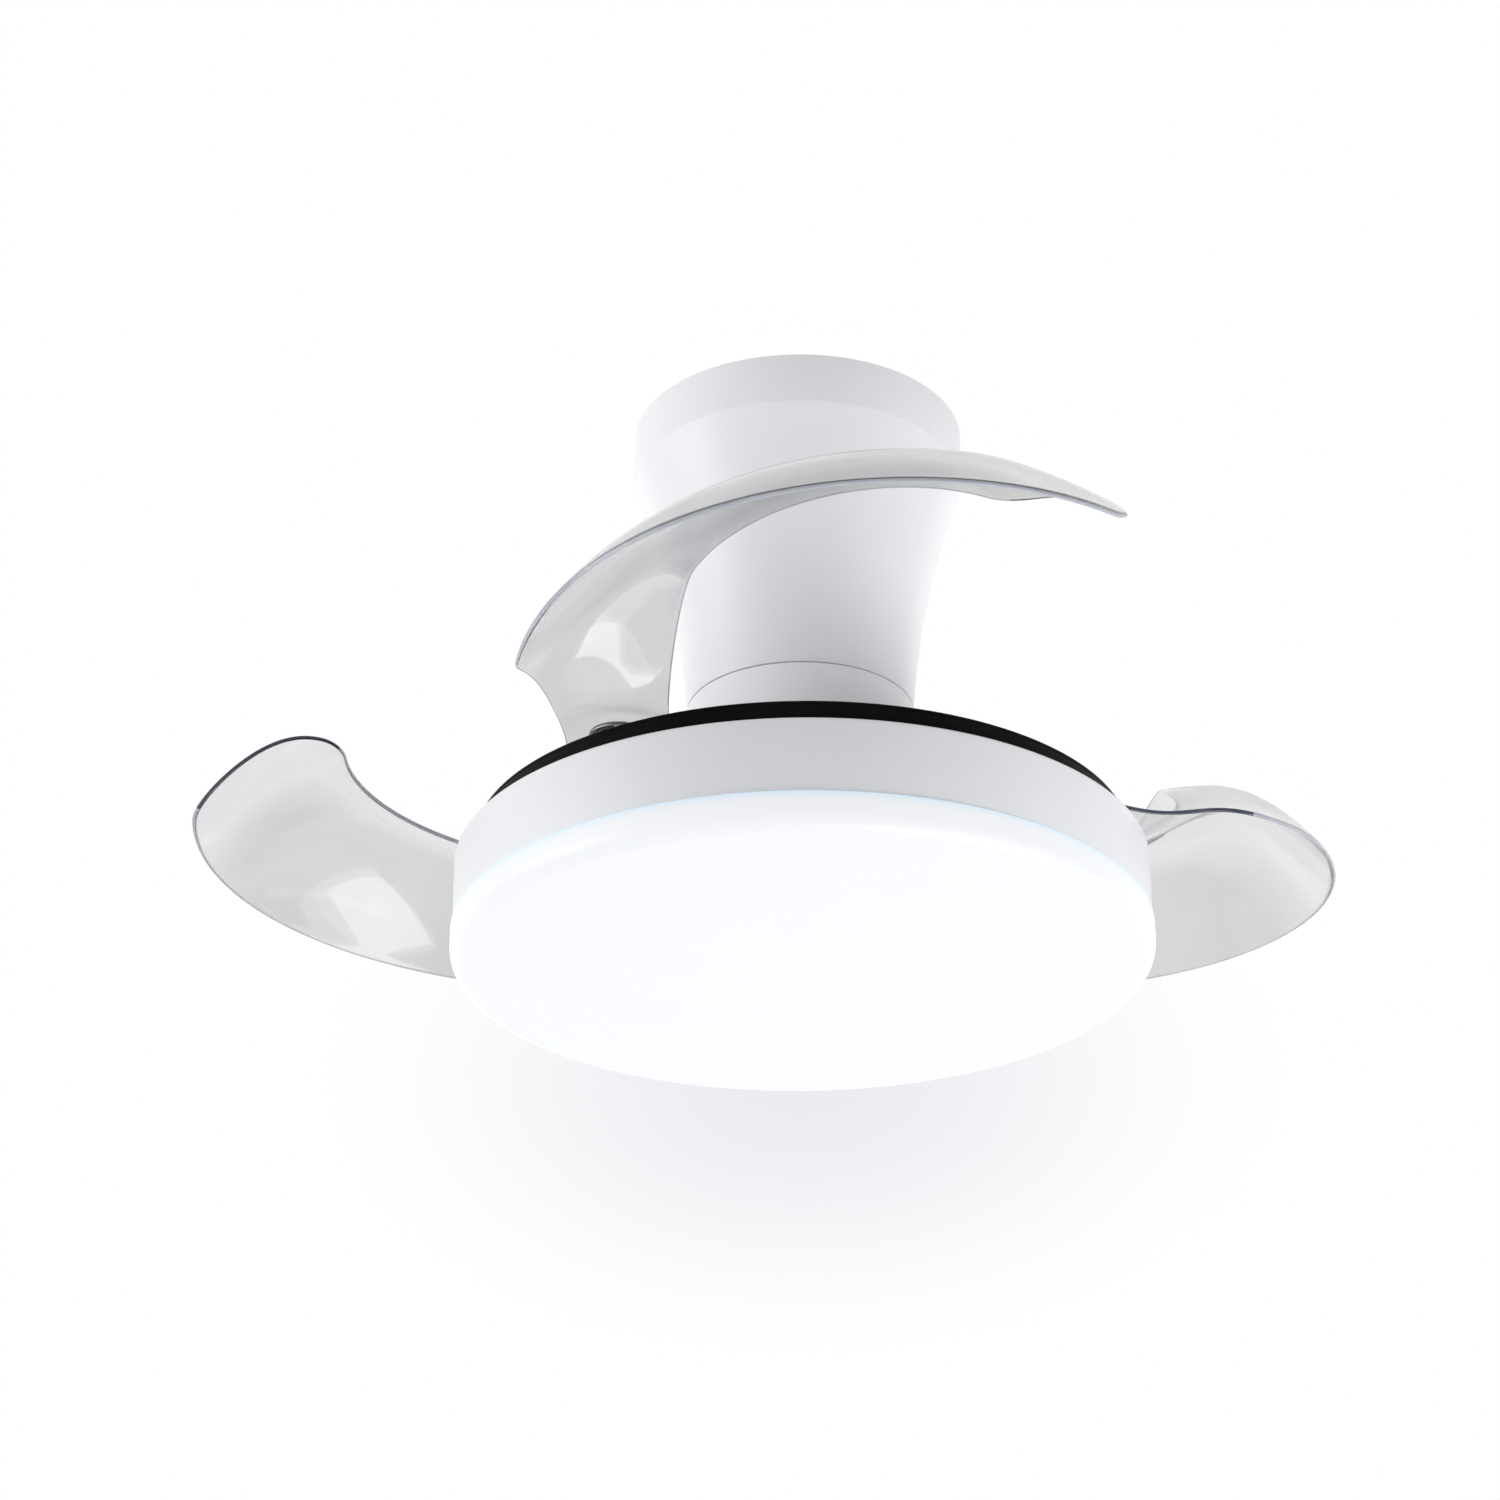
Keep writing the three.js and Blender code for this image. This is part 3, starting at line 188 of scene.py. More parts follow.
def math2(tree, operation, a, b, clamp=False):
    return addNode(tree, "ShaderNodeMath", {0: a, 1: b}, operation=operation, use_clamp=clamp).outputs[0]


def times(tree, a, b, clamp=False):
    return math2(tree, "MULTIPLY", a, b, clamp)


def plus(tree, a, b, clamp=False):
    return math2(tree, "ADD", a, b, clamp)


def weighed(tree, a, share, b):
    return plus(tree, times(tree, a, share), times(tree, b, 1.0 - share))


def swung(tree, base, value, middle, amount):
    # a base number that rises and falls with a texture
    return plus(tree, base, times(tree, math2(tree, "SUBTRACT", value, middle), amount), True)


def vectorNode(tree, operation, a, b=None):
    inputs = {0: a} if b is None else {0: a, 1: b}
    outputs = addNode(tree, "ShaderNodeVectorMath", inputs, operation=operation).outputs
    return outputs["Value" if operation == "LENGTH" else "Vector"]


def ramp(tree, value, low, high, outLow=0.0, outHigh=1.0):
    return addNode(tree, "ShaderNodeMapRange", {
        "Value": value, "From Min": low, "From Max": high, "To Min": outLow, "To Max": outHigh,
    }, clamp=True).outputs["Result"]


def blendColour(tree, share, a, b):
    # a colour mix has its two colours at inputs 6 and 7, and its result at output 2
    return addNode(tree, "ShaderNodeMix", {0: share, 6: a, 7: b}, data_type="RGBA").outputs[2]


def noise(tree, place, scale, detail=3.0, roughness=0.5, distortion=0.0):
    return addNode(tree, "ShaderNodeTexNoise", {
        "Vector": place, "Scale": scale, "Detail": detail, "Roughness": roughness, "Distortion": distortion,
    }).outputs["Fac"]


def objectPlace(tree):
    return tree.nodes.new("ShaderNodeTexCoord").outputs["Object"]


def upPart(tree, vector):
    return addNode(tree, "ShaderNodeSeparateXYZ", {"Vector": vector}).outputs["Z"]


def clothe(tree, shader, colour, roughness, relief, strength, depth):
    bump = addNode(tree, "ShaderNodeBump", {"Height": relief, "Strength": strength, "Distance": depth})
    feed(tree, shader.inputs["Base Color"], colour)
    feed(tree, shader.inputs["Roughness"], roughness)
    feed(tree, shader.inputs["Normal"], bump.outputs["Normal"])


# shared surface effects

def makeMouldedSkin():
    group, given, result = newGroup("mouldedSkin", [
        ("Colour", "colour", (0.8, 0.8, 0.8)), ("Shaded Colour", "colour", (0.7, 0.7, 0.7)),
        ("Blotch Scale", "value", 9.0), ("Blotch Amount", "value", 0.5), ("Grain Scale", "value", 1600.0),
        ("Roughness", "value", 0.4), ("Roughness Spread", "value", 0.08),
    ], [("Colour", "colour"), ("Roughness", "value"), ("Height", "value")])
    place = objectPlace(group)
    blotch = noise(group, place, given["Blotch Scale"], 4.0, 0.55, 0.3)
    flow = noise(group, vectorNode(group, "MULTIPLY", place, (1.0, 1.0, 0.22)), 34.0, 3.0, 0.6, 0.8)
    mixed = weighed(group, blotch, 0.7, flow)
    share = times(group, ramp(group, mixed, 0.36, 0.66), given["Blotch Amount"], True)
    feed(group, result["Colour"], blendColour(group, share, given["Colour"], given["Shaded Colour"]))
    broad = swung(group, given["Roughness"], mixed, 0.5, given["Roughness Spread"])
    rub = noise(group, place, 210.0, 5.0, 0.7)
    fineSpread = times(group, given["Roughness Spread"], 0.6)
    feed(group, result["Roughness"], swung(group, broad, rub, 0.5, fineSpread))
    grain = noise(group, place, given["Grain Scale"], 2.0, 0.6)
    wave = noise(group, place, 26.0, 1.0, 0.4)
    feed(group, result["Height"], weighed(group, grain, 0.35, wave))
    return group


def makeDustFilm():
    group, given, result = newGroup("dustFilm", [
        ("Colour", "colour", (0.1, 0.1, 0.1)), ("Dust Colour", "colour", (0.5, 0.5, 0.48)),
        ("Amount", "value", 0.2), ("Speck Scale", "value", 900.0),
    ], [("Colour", "colour"), ("Mask", "value")])
    place = objectPlace(group)
    normal = group.nodes.new("ShaderNodeNewGeometry").outputs["Normal"]
    facing = ramp(group, upPart(group, normal), 0.25, 0.95)
    cloud = ramp(group, noise(group, place, 14.0, 5.0, 0.62, 0.5), 0.35, 0.72)
    specks = ramp(group, noise(group, place, given["Speck Scale"], 2.0, 0.55), 0.62, 0.74)
    film = weighed(group, cloud, 0.6, specks)
    mask = times(group, times(group, film, facing), given["Amount"], True)
    feed(group, result["Colour"], blendColour(group, mask, given["Colour"], given["Dust Colour"]))
    feed(group, result["Mask"], mask)
    return group


def makeTurnedMetal():
    group, given, result = newGroup("turnedMetal", [
        ("Colour", "colour", (0.6, 0.6, 0.6)), ("Dull Colour", "colour", (0.4, 0.4, 0.4)),
        ("Line Scale", "value", 2600.0), ("Patch Scale", "value", 60.0),
        ("Roughness", "value", 0.3), ("Roughness Spread", "value", 0.2),
    ], [("Colour", "colour"), ("Roughness", "value"), ("Height", "value")])
    place = objectPlace(group)
    parts = addNode(group, "ShaderNodeSeparateXYZ", {"Vector": place}).outputs
    flat = addNode(group, "ShaderNodeCombineXYZ", {"X": parts["X"], "Y": parts["Y"]}).outputs[0]
    radius = vectorNode(group, "LENGTH", flat)
    turned = addNode(group, "ShaderNodeCombineXYZ", {"X": radius, "Y": parts["Z"]}).outputs[0]
    lines = noise(group, turned, given["Line Scale"], 2.0, 0.7)
    patches = noise(group, place, given["Patch Scale"], 4.0, 0.6, 0.4)
    mixed = weighed(group, lines, 0.35, patches)
    share = ramp(group, mixed, 0.38, 0.66)
    feed(group, result["Colour"], blendColour(group, share, given["Colour"], given["Dull Colour"]))
    feed(group, result["Roughness"], swung(group, given["Roughness"], mixed, 0.5, given["Roughness Spread"]))
    feed(group, result["Height"], lines)
    return group


mouldedSkin = makeMouldedSkin()
dustFilm = makeDustFilm()
turnedMetal = makeTurnedMetal()


# materials: dust is its colour, amount and speck scale, and relief is the bump's strength and depth

def placeSkin(tree, finish):
    return placeGroup(tree, mouldedSkin, {
        "Colour": finish["colour"], "Shaded Colour": finish["shaded"], "Blotch Scale": finish["blotchScale"],
        "Blotch Amount": finish["blotchAmount"], "Grain Scale": finish["grainScale"],
        "Roughness": finish["roughness"], "Roughness Spread": finish["spread"],
    })


def placeDust(tree, colour, dust):
    return placeGroup(tree, dustFilm, {
        "Colour": colour, "Dust Colour": dust[0], "Amount": dust[1], "Speck Scale": dust[2],
    })


whitePlastic = {
    "colour": (0.835, 0.84, 0.855),
    "shaded": (0.80, 0.805, 0.822),
    "blotchScale": 7.0,
    "blotchAmount": 0.55,
    "grainScale": 1500.0,
    "roughness": 0.46,
    "spread": 0.10,
    "coat": 0.12,
    "coatRoughness": 0.3,
    "dust": ((0.70, 0.69, 0.67), 0.3, 700.0),
    "relief": (0.10, 0.0004),
}


def makeWhitePlastic(name, **change):
    finish = {**whitePlastic, **change}
    material, tree, shader = newMaterial(name, {
        "IOR": 1.5, "Coat Weight": finish["coat"], "Coat Roughness": finish["coatRoughness"],
    })
    skin = placeSkin(tree, finish)
    dusty = placeDust(tree, skin["Colour"], finish["dust"])
    clothe(tree, shader, dusty["Colour"], skin["Roughness"], skin["Height"], *finish["relief"])
    return material


blackGloss = {
    "colour": (0.0035, 0.0045, 0.004),
    "shaded": (0.0065, 0.0078, 0.007),
    "blotchScale": 12.0,
    "blotchAmount": 0.8,
    "grainScale": 2100.0,
    "roughness": 0.34,
    "spread": 0.18,
    "specular": 0.03,
    "dust": ((0.14, 0.14, 0.13), 0.16, 820.0),
    "dustRoughness": 0.9,
    "relief": (0.08, 0.0003),
}


def makeBlackGloss():
    material, tree, shader = newMaterial("trayBlack", {
        "IOR": 1.5, "Specular IOR Level": blackGloss["specular"],
    })
    skin = placeSkin(tree, blackGloss)
    dusty = placeDust(tree, skin["Colour"], blackGloss["dust"])
    rough = plus(tree, skin["Roughness"], times(tree, dusty["Mask"], blackGloss["dustRoughness"]), True)
    clothe(tree, shader, dusty["Colour"], rough, skin["Height"], *blackGloss["relief"])
    return material


opal = {
    "colour": (0.20, 0.205, 0.21),
    "shaded": (0.185, 0.19, 0.195),
    "glow": (0.965, 0.975, 1.0),
    "duskyGlow": (0.94, 0.965, 1.0),
    "rimGlow": (0.56, 0.70, 0.80),
    "rimColour": (0.30, 0.36, 0.41),
    "rimTop": -0.4105,
    "rimBand": 0.0085,
    "strength": 0.695,
    "blotchScale": 6.0,
    "blotchAmount": 0.4,
    "grainScale": 1900.0,
    "roughness": 0.42,
    "spread": 0.08,
    "relief": (0.06, 0.0003),
}


def makeOpal():
    material, tree, shader = newMaterial("opalDiffuser", {
        "IOR": 1.5, "Emission Strength": opal["strength"],
    })
    place = objectPlace(tree)
    rim = ramp(tree, upPart(tree, place), opal["rimTop"] - opal["rimBand"], opal["rimTop"])
    cloud = noise(tree, place, 5.0)
    lit = blendColour(tree, ramp(tree, cloud, 0.3, 0.7, 0.0, 0.4), opal["glow"], opal["duskyGlow"])
    band = times(tree, rim, rim)
    feed(tree, shader.inputs["Emission Color"], blendColour(tree, band, lit, opal["rimGlow"]))
    skin = placeSkin(tree, opal)
    colour = blendColour(tree, band, skin["Colour"], opal["rimColour"])
    clothe(tree, shader, colour, skin["Roughness"], skin["Height"], *opal["relief"])
    return material


clearPlastic = {
    "sheet": ((0.66, 0.66, 0.664), (0.585, 0.585, 0.589)),
    # painted sheen: the near-white colour the sheet is given where it is seen along, faded in between the two
    # facing values below
    "paintedSheen": (0.97, 0.972, 0.98),
    "alongFrom": 0.375,
    "alongTo": 0.59,
    # painted edge shade: the rims get an opaque grey-violet colour, and those at the root and tip a
    # near-black navy, in place of the dark lines that refraction draws along a clear sheet's edges
    "rim": ((0.56, 0.575, 0.64), (0.46, 0.475, 0.54)),
    "endRim": ((0.03, 0.04, 0.075), (0.07, 0.08, 0.14)),
    "clarity": {"sheet": 1.0, "rim": 0.2, "endRim": 0.4},
    "dust": ((0.42, 0.42, 0.41), 0.12, 1100.0),
    "relief": (0.12, 0.002),
    "roughness": 0.065,
    "spread": 0.03,
    "index": 1.49,
}


def makeClear(name, part):
    material, tree, shader = newMaterial(name, {
        "IOR": clearPlastic["index"], "Transmission Weight": clearPlastic["clarity"][part],
    })
    place = objectPlace(tree)
    clean, hazy = clearPlastic[part]
    if part != "sheet":
        # the rims' painted edge shade, made a little uneven by noise
        colour = blendColour(tree, ramp(tree, noise(tree, place, 24.0, 3.0, 0.6), 0.4, 0.65), clean, hazy)
    else:
        haze = ramp(tree, noise(tree, place, 8.0, 4.0, 0.55, 0.6), 0.36, 0.68)
        colour = blendColour(tree, haze, clean, hazy)
        dusty = placeDust(tree, colour, clearPlastic["dust"])
        # painted sheen: seen along the sheet the tint gives way to a near-white colour that stands in for the
        # gloss's reflection
        facing = addNode(tree, "ShaderNodeLayerWeight", {"Blend": 0.5}).outputs["Facing"]
        along = ramp(tree, facing, clearPlastic["alongFrom"], clearPlastic["alongTo"])
        colour = blendColour(tree, along, dusty["Colour"], clearPlastic["paintedSheen"])
    smear = noise(tree, place, 45.0, 5.0, 0.65, 1.2)
    rough = swung(tree, clearPlastic["roughness"], smear, 0.4, clearPlastic["spread"])
    sink = noise(tree, place, 11.0, 1.0, 0.4)
    clothe(tree, shader, colour, rough, sink, *clearPlastic["relief"])
    return material


metalRelief = (0.18, 0.0002)

# colour, dull colour, line scale, patch scale, roughness, its spread, metallic
metals = {
    "zincPlate": ((0.56, 0.58, 0.60), (0.42, 0.44, 0.45), 900.0, 55.0, 0.36, 0.22, 1.0),
    "brightSteel": ((0.60, 0.61, 0.62), (0.48, 0.49, 0.50), 3200.0, 90.0, 0.24, 0.18, 1.0),
    "boltNickel": ((0.74, 0.75, 0.77), (0.60, 0.61, 0.63), 3000.0, 90.0, 0.32, 0.2, 0.55),
    "springSteel": ((0.42, 0.43, 0.44), (0.26, 0.27, 0.28), 2400.0, 120.0, 0.34, 0.22, 1.0),
    "castAluminium": ((0.58, 0.585, 0.59), (0.46, 0.465, 0.47), 420.0, 180.0, 0.5, 0.2, 0.9),
    "coreSteel": ((0.10, 0.103, 0.112), (0.06, 0.062, 0.068), 2000.0, 70.0, 0.5, 0.2, 0.5),
}


def makeMetal(name):
    colour, dull, lineScale, patchScale, rough, spread, metallic = metals[name]
    material, tree, shader = newMaterial(name, {"Metallic": metallic})
    skin = placeGroup(tree, turnedMetal, {
        "Colour": colour, "Dull Colour": dull, "Line Scale": lineScale, "Patch Scale": patchScale,
        "Roughness": rough, "Roughness Spread": spread,
    })
    clothe(tree, shader, skin["Colour"], skin["Roughness"], skin["Height"], *metalRelief)
    return material


copper = {
    "dark": (0.56, 0.24, 0.10),
    "bright": (0.68, 0.34, 0.16),
    # painted shade in the grooves between the wire's turns
    "grooveShade": (0.12, 0.04, 0.02),
    "roughness": (0.45, 0.28),
    "relief": (0.5, 0.0004),
}


def makeCopper():
    material, tree, shader = newMaterial("copperWinding", {
        "Metallic": 0.85, "Coat Weight": 0.5, "Coat Roughness": 0.15,
    })
    place = objectPlace(tree)
    wave = addNode(tree, "ShaderNodeTexWave", {
        "Vector": place, "Scale": 420.0, "Distortion": 0.6, "Detail": 2.0, "Detail Scale": 1.5,
    }, bands_direction="Z").outputs["Fac"]
    tone = ramp(tree, noise(tree, place, 120.0), 0.3, 0.7)
    wire = blendColour(tree, tone, copper["dark"], copper["bright"])
    # painted shade: the wave's low bands, the grooves between turns, are darkened
    colour = blendColour(tree, ramp(tree, wave, 0.0, 0.35), copper["grooveShade"], wire)
    rough = ramp(tree, wave, 0.0, 1.0, *copper["roughness"])
    clothe(tree, shader, colour, rough, wave, *copper["relief"])
    return material


softPlastics = {
    "nylon": {
        "colour": (0.78, 0.755, 0.69), "shaded": (0.70, 0.67, 0.60), "roughness": 0.5, "blotchScale": 30.0,
    },
    "greyPlastic": {
        "colour": (0.60, 0.605, 0.61), "shaded": (0.53, 0.535, 0.54), "roughness": 0.55, "blotchScale": 16.0,
    },
}
bothSoft = {"blotchAmount": 0.7, "grainScale": 900.0, "spread": 0.16, "relief": (0.25, 0.0004)}


def makeSoftPlastic(name):
    material, tree, shader = newMaterial(name, {"IOR": 1.52})
    skin = placeSkin(tree, {**softPlastics[name], **bothSoft})
    clothe(tree, shader, skin["Colour"], skin["Roughness"], skin["Height"], *bothSoft["relief"])
    return material


# each board's parts: their colour, and the two heights between which it takes over from the board's own
board = {
    "white": (0.80, 0.81, 0.80),
    "track": (0.66, 0.68, 0.66),
    "lightBoard": ((0.86, 0.66, 0.16), -0.3883, -0.3885),
    "receiverBoard": ((0.05, 0.05, 0.055), -0.0208, -0.0204),
    "roughness": (0.34, 0.52),
    "relief": (0.2, 0.0002),
}


def makeBoard(name):
    partColour, start, end = board[name]
    material, tree, shader = newMaterial(name, {"IOR": 1.5, "Coat Weight": 0.3, "Coat Roughness": 0.2})
    place = objectPlace(tree)
    cells = addNode(tree, "ShaderNodeTexVoronoi", {
        "Vector": place, "Scale": 75.0,
    }, feature="DISTANCE_TO_EDGE").outputs["Distance"]
    track = ramp(tree, cells, 0.03, 0.06, 1.0, 0.0)
    plain = blendColour(tree, times(tree, track, 0.5), board["white"], board["track"])
    colour = blendColour(tree, ramp(tree, upPart(tree, place), start, end), plain, partColour)
    rough = ramp(tree, noise(tree, place, 160.0), 0.2, 0.8, *board["roughness"])
    clothe(tree, shader, colour, rough, track, *board["relief"])
    return material


look = {
    "shellWhite": makeWhitePlastic("shellWhite"),
    # painted shade: the lamp's pan takes the shell's white plastic made darker, for the shade that falls on
    # its middle
    "lampWhite": makeWhitePlastic("lampWhite", colour=(0.78, 0.78, 0.80), shaded=(0.75, 0.75, 0.77)),
    "trayBlack": makeBlackGloss(),
    "opalDiffuser": makeOpal(),
    "clearBlade": makeClear("clearBlade", "sheet"),
    "clearRim": makeClear("clearRim", "rim"),
    "clearEndRim": makeClear("clearEndRim", "endRim"),
    "copperWinding": makeCopper(),
    "lightBoard": makeBoard("lightBoard"),
    "receiverBoard": makeBoard("receiverBoard"),
}
look.update({name: makeMetal(name) for name in metals})
look.update({name: makeSoftPlastic(name) for name in softPlastics})
print("materials made")


# mesh helpers

def meshFrom(name, points, faces, faceLooks=None):
    mesh = bpy.data.meshes.new(name)
    mesh.from_pydata([(x * mm, y * mm, z * mm) for x, y, z in points], [], faces)
    if faceLooks is not None:
        mesh.polygons.foreach_set("material_index", faceLooks)
    shape = bmesh.new()
    shape.from_mesh(mesh)
    bmesh.ops.remove_doubles(shape, verts=shape.verts, dist=2e-6)
    bmesh.ops.dissolve_degenerate(shape, edges=shape.edges, dist=2e-6)
    bmesh.ops.recalc_face_normals(shape, faces=shape.faces)
    shape.to_mesh(mesh)
    shape.free()
    return linked(bpy.data.objects.new(name, mesh))


def revolve(profile, steps, name):
    count = len(profile)
    points = []
    faces = []
    for step in range(steps):
        turn = 2 * math.pi * step / steps
        points += [(r * math.cos(turn), r * math.sin(turn), z) for r, z in profile]
    for step in range(steps):
        here = step * count
        there = (step + 1) % steps * count
        for k in range(count):
            after = (k + 1) % count
            faces.append((here + k, here + after, there + after, there + k))
    return meshFrom(name, points, faces)


def softened(corners, radius, steps=4):
    # rounds the corners of a closed outline; a corner may carry its own radius as a third number
    result = []
    count = len(corners)
    for i, corner in enumerate(corners):
        here = Vector(corner[:2])
        own = corner[2] if len(corner) > 2 else radius
        before = Vector(corners[i - 1][:2]) - here
        after = Vector(corners[(i + 1) % count][:2]) - here
        half = before.angle(after, math.pi) / 2
        if own <= 0 or half > math.radians(88):  # a corner kept sharp, or a nearly straight stretch
            result.append(tuple(here))
            continue
        reach = min(own / math.tan(half), before.length * 0.48, after.length * 0.48)
        first = here + before.normalized() * reach
        last = here + after.normalized() * reach
        centre = here + (before.normalized() + after.normalized()).normalized() * (reach / math.cos(half))
        start = first - centre
        finish = last - centre
        sweep = start.angle_signed(finish)
        for k in range(steps + 1):
            result.append(tuple(centre + Matrix.Rotation(-sweep * k / steps, 2) @ start))
    return result


def combined(thing, others, operation):
    for other in others:
        change = thing.modifiers.new("change", "BOOLEAN")
        change.operation = operation
        change.solver = "EXACT"
        change.object = other
    graph = bpy.context.evaluated_depsgraph_get()
    graph.update()
    mesh = bpy.data.meshes.new_from_object(thing.evaluated_get(graph))
    thing.modifiers.clear()
    thing.data = mesh
    for other in others:
        bpy.data.objects.remove(other)
    return thing


def moved(thing, matrix):
    thing.data.transform(matrix)
    return thing


def laidFlat(thing):
    # what pointed up now points out along X
    return moved(thing, Matrix.Rotation(math.radians(90), 4, "Y"))


def turnedTo(thing, angle, radius=0.0, height=0.0):
    # first out along X and up, then round the fan's axis
    shift = Matrix.Translation((radius * mm, 0.0, height * mm))
    return moved(thing, Matrix.Rotation(math.radians(angle), 4, "Z") @ shift)


def box(length, width, bottom, top):
    points = [(sx * length / 2, sy * width / 2, z)
              for z in (bottom, top) for sx, sy in ((-1, -1), (1, -1), (1, 1), (-1, 1))]
    faces = [(3, 2, 1, 0), (4, 5, 6, 7), (0, 1, 5, 4), (1, 2, 6, 5), (2, 3, 7, 6), (3, 0, 4, 7)]
    return meshFrom("box", points, faces)


def pin(radius, bottom, top, steps=28):
    return revolve([(0, bottom), (radius, bottom), (radius, top), (0, top)], steps, "pin")


def pinsRound(angles, circle, *sizes):
    return [turnedTo(pin(*sizes), angle, circle) for angle in angles]


def ringPiece(inner, outer, bottom, top, angle, width, steps=8):
    # a short stretch of a ring, such as a tab or a lug
    points = []
    for i in range(steps + 1):
        turn = math.radians(angle - width / 2 + width * i / steps)
        points += [(r * math.cos(turn), r * math.sin(turn), z)
                   for r, z in ((inner, bottom), (outer, bottom), (outer, top), (inner, top))]
    faces = [(3, 2, 1, 0), tuple(4 * steps + k for k in range(4))]
    for i in range(steps):
        for k in range(4):
            faces.append((4 * i + k, 4 * i + (k + 1) % 4, 4 * i + 4 + (k + 1) % 4, 4 * i + 4 + k))
    return meshFrom("ringPiece", points, faces)


def crossScrew(name, size):
    top = size["seat"] + size["headHeight"]
    shank, head = size["shank"], size["head"]
    outline = [(0, size["foot"], 0), (shank, size["foot"], size["tipRound"]), (shank, size["seat"], 0),
               (head, size["seat"], 0.3), (head, top, size["crown"]), (0, top, 0)]
    screw = revolve(softened(outline, 0.3), size["steps"], name)
    long, wide = size["slotLength"], size["slotWidth"]
    cross = [box(x, y, top - size["slotDepth"], top + 1) for x, y in ((long, wide), (wide, long))]
    return combined(screw, cross, "DIFFERENCE")


def dress(thing, body, looks, node, sharp=32.0):
    mesh = thing.data
    faceLooks = [face.material_index for face in mesh.polygons]
    mesh.materials.clear()
    for each in looks:
        mesh.materials.append(look[each])
    if len(looks) > 1:
        mesh.polygons.foreach_set("material_index", faceLooks)
    mesh.polygons.foreach_set("use_smooth", [True] * len(mesh.polygons))
    mesh.set_sharp_from_angle(angle=math.radians(sharp))
    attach(thing, body)
    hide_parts(node)


# canopy and neck

shell = {
    "topRadius": 123.0,
    "topHeight": -1.0,
    "sideFoot": -40.0,
    "footRadius": 83.0,
    "footHeight": -230.0,
    "wall": 2.5,
    "steps": 168,
    "bends": ((0.96, 0.026), (0.5, 0.29), (0.125, 0.63), (0.0, 1.0)),  # shares of the neck's draw and fall
    "curveSteps": 44,
    "screwAngles": (20.0, 160.0),
    "screwHeight": -14.0,
    "screwHole": 2.3,
}


def neckCurve():
    foot, side = shell["footRadius"], shell["sideFoot"]
    draw = shell["topRadius"] - foot
    fall = side - shell["footHeight"]
    corners = [(foot + out * draw, side - down * fall) for out, down in shell["bends"]]
    result = []
    for i in range(shell["curveSteps"] + 1):
        t = i / shell["curveSteps"]
        shares = ((1 - t) ** 3, 3 * t * (1 - t) ** 2, 3 * t * t * (1 - t), t ** 3)
        result.append(tuple(sum(s * c[axis] for s, c in zip(shares, corners)) for axis in (0, 1)))
    return result


def makeShell():
    top = shell["topRadius"]
    wall = shell["wall"]
    curve = neckCurve()
    outside = [(top, shell["topHeight"], 0.7), (top, shell["sideFoot"], 3.5)]
    outside += [(r, z, 0.0) for r, z in curve[1:-1]] + [(*curve[-1], 0.35)]
    inside = [(r - wall, z, 0.0) for r, z in curve[1:-1]][::-1]
    foot = (shell["footRadius"] - wall, shell["footHeight"], 0.5)
    rest = [(top - wall, shell["sideFoot"], 2.0), (top - wall, shell["topHeight"], 0.5)]
    thing = revolve(softened(outside + [foot] + inside + rest, 0.5, 3), shell["steps"], "canopyShell")
    holes = []
    for angle in shell["screwAngles"]:
        hole = laidFlat(pin(shell["screwHole"], -8, 8, 20))
        holes.append(turnedTo(hole, angle, top, shell["screwHeight"]))
    combined(thing, holes, "DIFFERENCE")
    dress(thing, "ceiling_unit", ["shellWhite"], "canopy_shell")


# foot and seat are measured out from the fan's axis, because these screws lie flat
canopyScrew = {
    "shank": 2.0,
    "head": 4.0,
    "headHeight": 2.4,
    "foot": 108.0,
    "seat": 123.3,
    "tipRound": 0.3,
    "crown": 1.4,
    "slotLength": 4.6,
    "slotWidth": 0.9,
    "slotDepth": 1.3,
    "steps": 40,
}


def makeCanopyScrews():
    for k, angle in enumerate(shell["screwAngles"]):
        screw = laidFlat(crossScrew(f"canopyScrewHead{k + 1}", canopyScrew))
        turnedTo(screw, angle, 0.0, shell["screwHeight"])
        dress(screw, "ceiling_unit", ["shellWhite"], f"canopy_screw_{k + 1}")


# turning collar and blade tray

collar = {
    "topRadius": 83.0,
    "footRadius": 82.0,
    "top": -230.9,
    "foot": -337.7,
    "wall": 2.5,
    "flange": 12.0,
    "lipRadius": 80.1,
    "lipTop": -228.6,
    "lipWall": 1.4,
    "lipSlope": (1.0, 3.0),
    "steps": 160,
}


def makeCollar():
    top, foot, wall = collar["top"], collar["foot"], collar["wall"]
    flange = collar["footRadius"] - collar["flange"]
    lipOuter = collar["lipRadius"]
    lipInner = lipOuter - collar["lipWall"]
    stepIn, stepDown = collar["lipSlope"]
    outline = [(flange, foot, 0.4), (collar["footRadius"], foot, 0.5), (collar["topRadius"], top, 0.4),
               (lipOuter, top, 0.2), (lipOuter, collar["lipTop"], 0.4), (lipInner, collar["lipTop"], 0.4),
               (lipInner, top, 0.3), (collar["topRadius"] - wall - stepIn, top - stepDown, 0.5),
               (collar["footRadius"] - wall, foot + wall, 1.5), (flange, foot + wall, 0.5)]
    thing = revolve(softened(outline, 0.5), collar["steps"], "turningCollar")
    dress(thing, "rotor", ["shellWhite"], "rotor_collar")


tray = {
    "radius": 235.0,
    "top": -338.0,
    "bottom": -354.0,
    "wall": 2.5,
    "seam": 0.3,
    "shaftHole": 21.0,
    "pivotHole": 9.3,
    "boltHole": 3.3,
    "postRadius": 5.0,
    "postCircle": 160.2,
    "postBore": 2.0,
    "boreDepth": 9.0,
    "motorScrewCircle": 45.0,
    "motorScrewHole": 2.3,
    "steps": 200,
}

pivots = {"radius": 212.0, "first": 234.5, "count": 3}


def pivotAngles(offset=0.0):
    return [pivots["first"] + 120.0 * k + offset for k in range(pivots["count"])]


